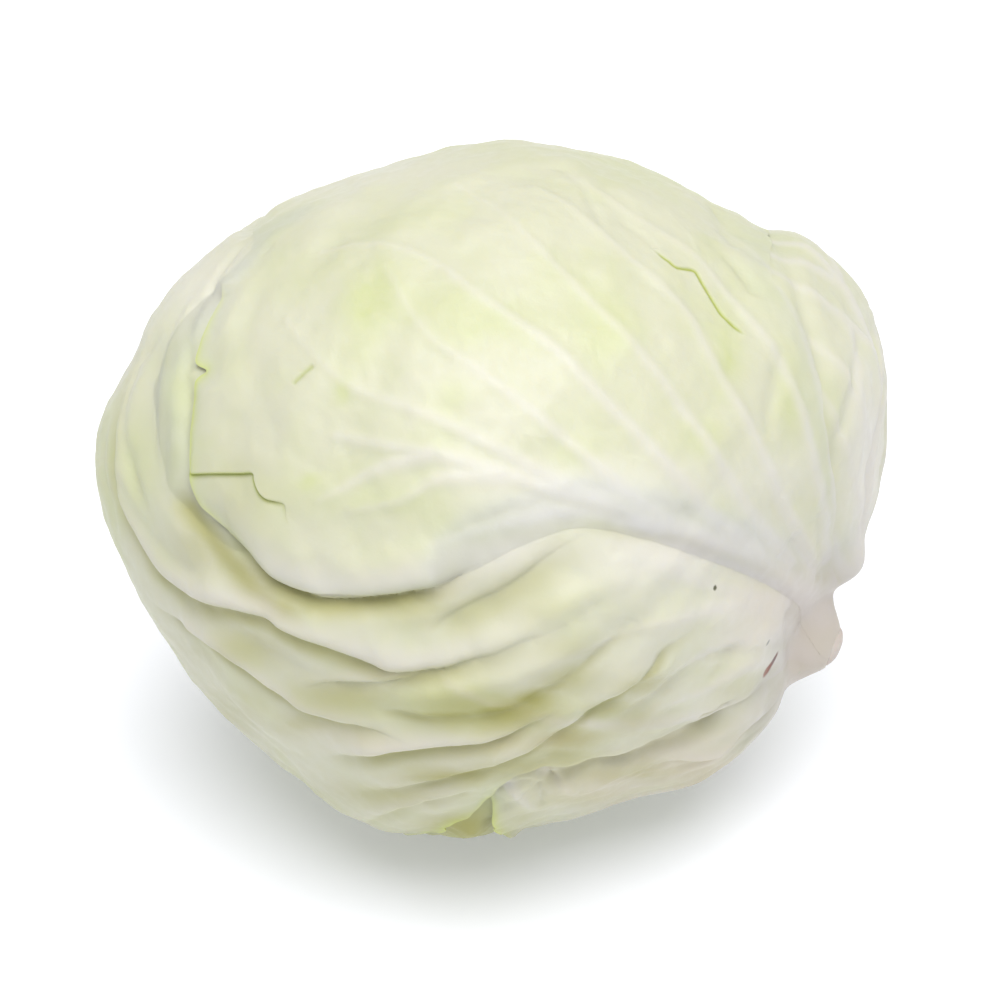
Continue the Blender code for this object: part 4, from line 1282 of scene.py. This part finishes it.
# From the outermost leaf inwards, how much of each shows and how much room it takes
raise_ribs, sockets = rib_tree()
covers = {}
base = outside.copy()
uncovered = np.ones(len(directions))
for number, (name, leaf) in enumerate(reversed(LEAVES.items())):
    tight = np.maximum(pressed, held_down) if name == "front_leaf" else pressed
    distance = outline_distance(outlines[name])
    if name == "second_leaf":
        tight = np.maximum(pressed, smooth_step(1.3 - distance / SECOND_HELD))
    ragged = sum(height * smooth_noise(size, seed + number)
                 for height, size, seed in RAGGED_MARGIN)
    distance += leaf["wave"] * ragged * (1 - tight)
    share = smooth_step(distance / BLEND_PAST_EDGE + 1)
    distance = np.minimum(distance, off_axis - HOLE_ROUND_STEM)
    share[faces[(distance[faces] > 0).any(axis=1)]] = 1.0
    thickness = leaf["thickness"] * (1 - (1 - PRESSED_THICKNESS) * tight)
    gap = GAP * (1 - (1 - PRESSED_THICKNESS) * tight)
    covers[name] = (distance, share, thickness, gap, tight, uncovered.copy())
    uncovered *= 1 - share
    base -= share * (thickness + gap)

# From the innermost leaf outwards, each is laid on what is under it, ribbed and finished
top = base.copy()
filled = base.copy()
for number, (name, leaf) in enumerate(LEAVES.items()):
    distance, share, thickness, gap, tight, shown = covers[name]
    inside = np.maximum(distance, 0)
    top += np.maximum(filled - top, 0) * smooth_step(inside / BRIDGE_REACH)
    filled += share * (thickness + gap)
    edge = np.minimum(EDGE_THICKNESS, thickness)
    full = edge + (thickness - edge) * smooth_step(inside / THINNING)
    curl = MEAN_CURL + CURL_CHANGE * smooth_noise(CURL_LENGTH, seed=80 + number)
    curl = np.clip(curl, 0, MOST_CURL)
    lift = leaf["lift"] * curl * np.exp(-inside / LIFT_REACH) * (1 - tight)
    for flare in FLARES.get(name, ()):
        lift += seen_patch(*flare) * np.exp(-inside / FLARE_REACH)
    outer = np.minimum(top + gap + lift + full, resting)
    inner = np.minimum(top + gap + lift, outer - 0.8 * edge)
    raised = shown * smooth_step(inside / RIBS_FROM_EDGE)
    raised *= smooth_step((resting - outer) / RESTING_FADE)
    clear = smooth_step((off_axis - RIBS_FROM_STEM) / RIBS_STEM_FADE)
    raised *= (RIBS_AT_STEM + (1 - RIBS_AT_STEM) * clear) * (1 - RIBS_HELD_LOSS * held_down)
    # The crest mark is a painted highlight, the trough mark olive with painted shade, the pale mark
    # partly painted light and the split mark partly painted shade
    mesh = shell(name + "_blade", inner, outer, distance, {
        "laid": directions * outside_smooth[:, None] * MM,
        "raised": raised,
        "crest_highlight": 0.75 * crest_highlight,
        "hollow_shade": 0.85 * hollow_shade,
        "pale": pale,
        "green": np.clip(0.6 * green_patches + leaf["green"], 0, 1),
        "stem": 0.85 * near_stem,
        "edge": 0.9 * np.exp(-inside / 1.6) * (1 - tight) * green_edges,
        "split": np.maximum.reduce((0.9 * splits["split"], 0.45 * splits["tick"], 0.8 * torn)),
    })
    top += np.maximum(outer - top, 0) * share
    blade = bpy.data.objects.new(name + "_blade", mesh)
    bpy.context.scene.collection.objects.link(blade)
    paths = [path_object(level, runs)
             for level, runs in zip(LEVELS, rib_paths(name, leaf, seed=100 + number))]
    for path in paths:
        bpy.context.scene.collection.objects.link(path)
    growth = blade.modifiers.new("ribs", "NODES")
    growth.node_group = raise_ribs
    for level, path in zip(LEVELS, paths):
        growth[sockets[level]] = path
    growth[sockets["Steepness"]] = RIB_STEEPNESS
    growth[sockets["Merging"]] = RIB_MERGING * MM
    growth[sockets["Middle"]] = tuple(HEAD_MIDDLE * MM)
    growth[sockets["Finish"]] = waxy_leaf(
        "waxy " + name.replace("_", " "), leaf["green"], SPECKS.get(name, ()))
    graph = bpy.context.evaluated_depsgraph_get()
    grown = bpy.data.meshes.new_from_object(blade.evaluated_get(graph))
    blade.modifiers.remove(growth)
    blade.data = grown
    for path in paths:
        bpy.data.objects.remove(path)
    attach(blade, "root")
    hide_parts(name)

# Inner head. The dense ball of young leaves fills the inside, and the outer leaves lie on it.
# It grew round the stem, which runs into it through a tapered socket. Only its outside shows,
# so it is one closed skin a small clearance under the lowest leaf.
CORE_SPLITS = 36
CORE_CLEARANCE = 0.3
SOCKET_REACH = math.radians(7.75)
SOCKET_DEPTH = 52.0

finder = KDTree(len(directions))
for k, way in enumerate(directions):
    finder.insert(way, k)
finder.balance()
core_ways, core_faces = even_grid(CORE_SPLITS)
inward = np.linalg.det(core_ways[core_faces]) < 0
core_faces[inward] = core_faces[inward][:, ::-1]
nearest = [finder.find(way)[1] for way in core_ways]
core_radius = base[nearest] - CORE_CLEARANCE
core_radius[head_angles(core_ways)[0] < SOCKET_REACH] = SOCKET_DEPTH
core = bpy.data.objects.new("young_leaves", new_mesh(
    "young_leaves", core_ways * core_radius[:, None] + lean[nearest], core_faces))
core.data.materials.append(waxy_leaf("waxy young leaves", 0.1))
bpy.context.scene.collection.objects.link(core)
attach(core, "root")
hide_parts("inner_head")

# Cut stem. A short woody stump that the leaves grow from, cut across with a knife. Its skin is
# pale and slightly ribbed, and the cut has dried to a low round nub. The profile gives places
# along the stem and its half widths there, and lobes are how far its ribs stand out.
STEM_PROFILE = (
    (52.4, 4.2), (60.0, 4.8), (70.0, 5.2), (80.0, 5.4), (87.0, 5.5), (89.2, 5.5), (90.4, 5.35),
    (91.3, 5.0), (92.0, 4.5), (92.5, 3.7), (92.9, 2.7), (93.1, 1.4),
)
STEM_FACETS = 96
LOBES = (2, 3, 5, 8)
LOBE_HEIGHTS = (0.1, 0.22)
LOBED_RADIUS = 11.0
BEND_FROM = 60.0
BEND_OVER = 25.0
STALK_PALE = "#C4BBB2"
STALK_DARK = "#B5AAA0"

turns = 2 * math.pi * np.arange(STEM_FACETS) / STEM_FACETS
rings = []
draw = np.random.default_rng(5)
lobes = sum(draw.uniform(*LOBE_HEIGHTS) * np.cos(k * turns + draw.uniform(0, 6)) for k in LOBES)
for along, radius in STEM_PROFILE:
    wide = radius + lobes * radius / LOBED_RADIUS
    shift = KNOB_SHIFT * smooth_step((along - BEND_FROM) / BEND_OVER)
    middle = along * STEM_AXIS - UPPER_AXIS * shift
    rings.append(middle + wide[:, None] * (
        np.cos(turns)[:, None] * FRONT_AXIS + np.sin(turns)[:, None] * UPPER_AXIS))
points = np.vstack((*rings, rings[0].mean(axis=0), rings[-1].mean(axis=0)))
index = np.arange(STEM_FACETS)
following = (index + 1) % STEM_FACETS
triangles = []
for row in range(len(rings) - 1):
    a, b = row * STEM_FACETS + index, row * STEM_FACETS + following
    c, d = a + STEM_FACETS, b + STEM_FACETS
    triangles += [np.stack((d, b, a), axis=-1), np.stack((c, d, a), axis=-1)]
last = (len(rings) - 1) * STEM_FACETS
inner_end, cut_end = np.full(STEM_FACETS, len(points) - 2), np.full(STEM_FACETS, len(points) - 1)
triangles += [np.stack((index, following, inner_end), axis=-1),
              np.stack((last + following, last + index, cut_end), axis=-1)]
triangles = np.vstack(triangles)
stump = bpy.data.objects.new("cut_stump", new_mesh("cut_stump", points, triangles))


def cut_stalk():
    """Skin and cut face of a cabbage stalk: pale, dull and finely fibrous."""
    made = bpy.data.materials.new("dry cut stalk")
    made.use_nodes = True
    tree = made.node_tree
    shader = tree.nodes["Principled BSDF"]
    place = add(tree, "ShaderNodeTexCoord", output="Object")
    fibre = add(tree, "ShaderNodeTexNoise", None,
                {"Vector": place, "Scale": 1 / 0.0015, "Detail": 4.0})
    shade = add(tree, "ShaderNodeMix", {"data_type": "RGBA"},
                {0: fibre, 6: colour(STALK_PALE), 7: colour(STALK_DARK)}, 2)
    tree.links.new(shade, shader.inputs["Base Color"])
    bump = add(tree, "ShaderNodeBump", None,
               {"Strength": 0.5, "Distance": 0.0003, "Height": fibre})
    tree.links.new(bump, shader.inputs["Normal"])
    shader.inputs["Roughness"].default_value = 0.65
    shader.inputs["Subsurface Weight"].default_value = 0.1
    shader.inputs["Subsurface Scale"].default_value = 0.002
    return made


stump.data.materials.append(cut_stalk())
bpy.context.scene.collection.objects.link(stump)
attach(stump, "root")
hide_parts("stem")

# Floor and light. A plain white paper that glows faintly, as a lit backdrop does, and soft
# light from above and a little from the front, so wide that the shadow has no hard edge.
FLOOR_HALF = 6.0
floor_mesh = bpy.data.meshes.new("floor")
floor_mesh.from_pydata([(-FLOOR_HALF, -FLOOR_HALF, 0), (FLOOR_HALF, -FLOOR_HALF, 0),
                        (FLOOR_HALF, FLOOR_HALF, 0), (-FLOOR_HALF, FLOOR_HALF, 0)],
                       [], [(0, 1, 2, 3)])
floor = bpy.data.objects.new("floor", floor_mesh)
bpy.context.scene.collection.objects.link(floor)
paper = bpy.data.materials.new("matt white paper")
paper.use_nodes = True
finish = paper.node_tree.nodes["Principled BSDF"]
for name, value in (("Base Color", (0.69, 0.70, 0.74, 1)), ("Roughness", 0.9),
                    ("Emission Color", (0.97, 0.98, 1.02, 1)), ("Emission Strength", 0.29)):
    finish.inputs[name].default_value = value
floor_mesh.materials.append(paper)

# In degrees, how wide the sun is and how far it leans to the front and to the right
SUN_STRENGTH = 3.98
SUN_WIDTH = 54.0
SUN_TILT = (17.0, 3.0)
WORLD_STRENGTH = 0.39

sun = bpy.data.objects.new("softbox", bpy.data.lights.new("softbox", "SUN"))
sun.data.energy = SUN_STRENGTH
sun.data.angle = math.radians(SUN_WIDTH)
sun.rotation_euler = (math.radians(SUN_TILT[0]), math.radians(SUN_TILT[1]), 0)
bpy.context.scene.collection.objects.link(sun)
world = bpy.data.worlds.new("studio")
world.use_nodes = True
world.node_tree.nodes["Background"].inputs["Color"].default_value = (1, 1, 1, 1)
world.node_tree.nodes["Background"].inputs["Strength"].default_value = WORLD_STRENGTH
bpy.context.scene.world = world
bpy.context.scene.view_settings.view_transform = "Standard"
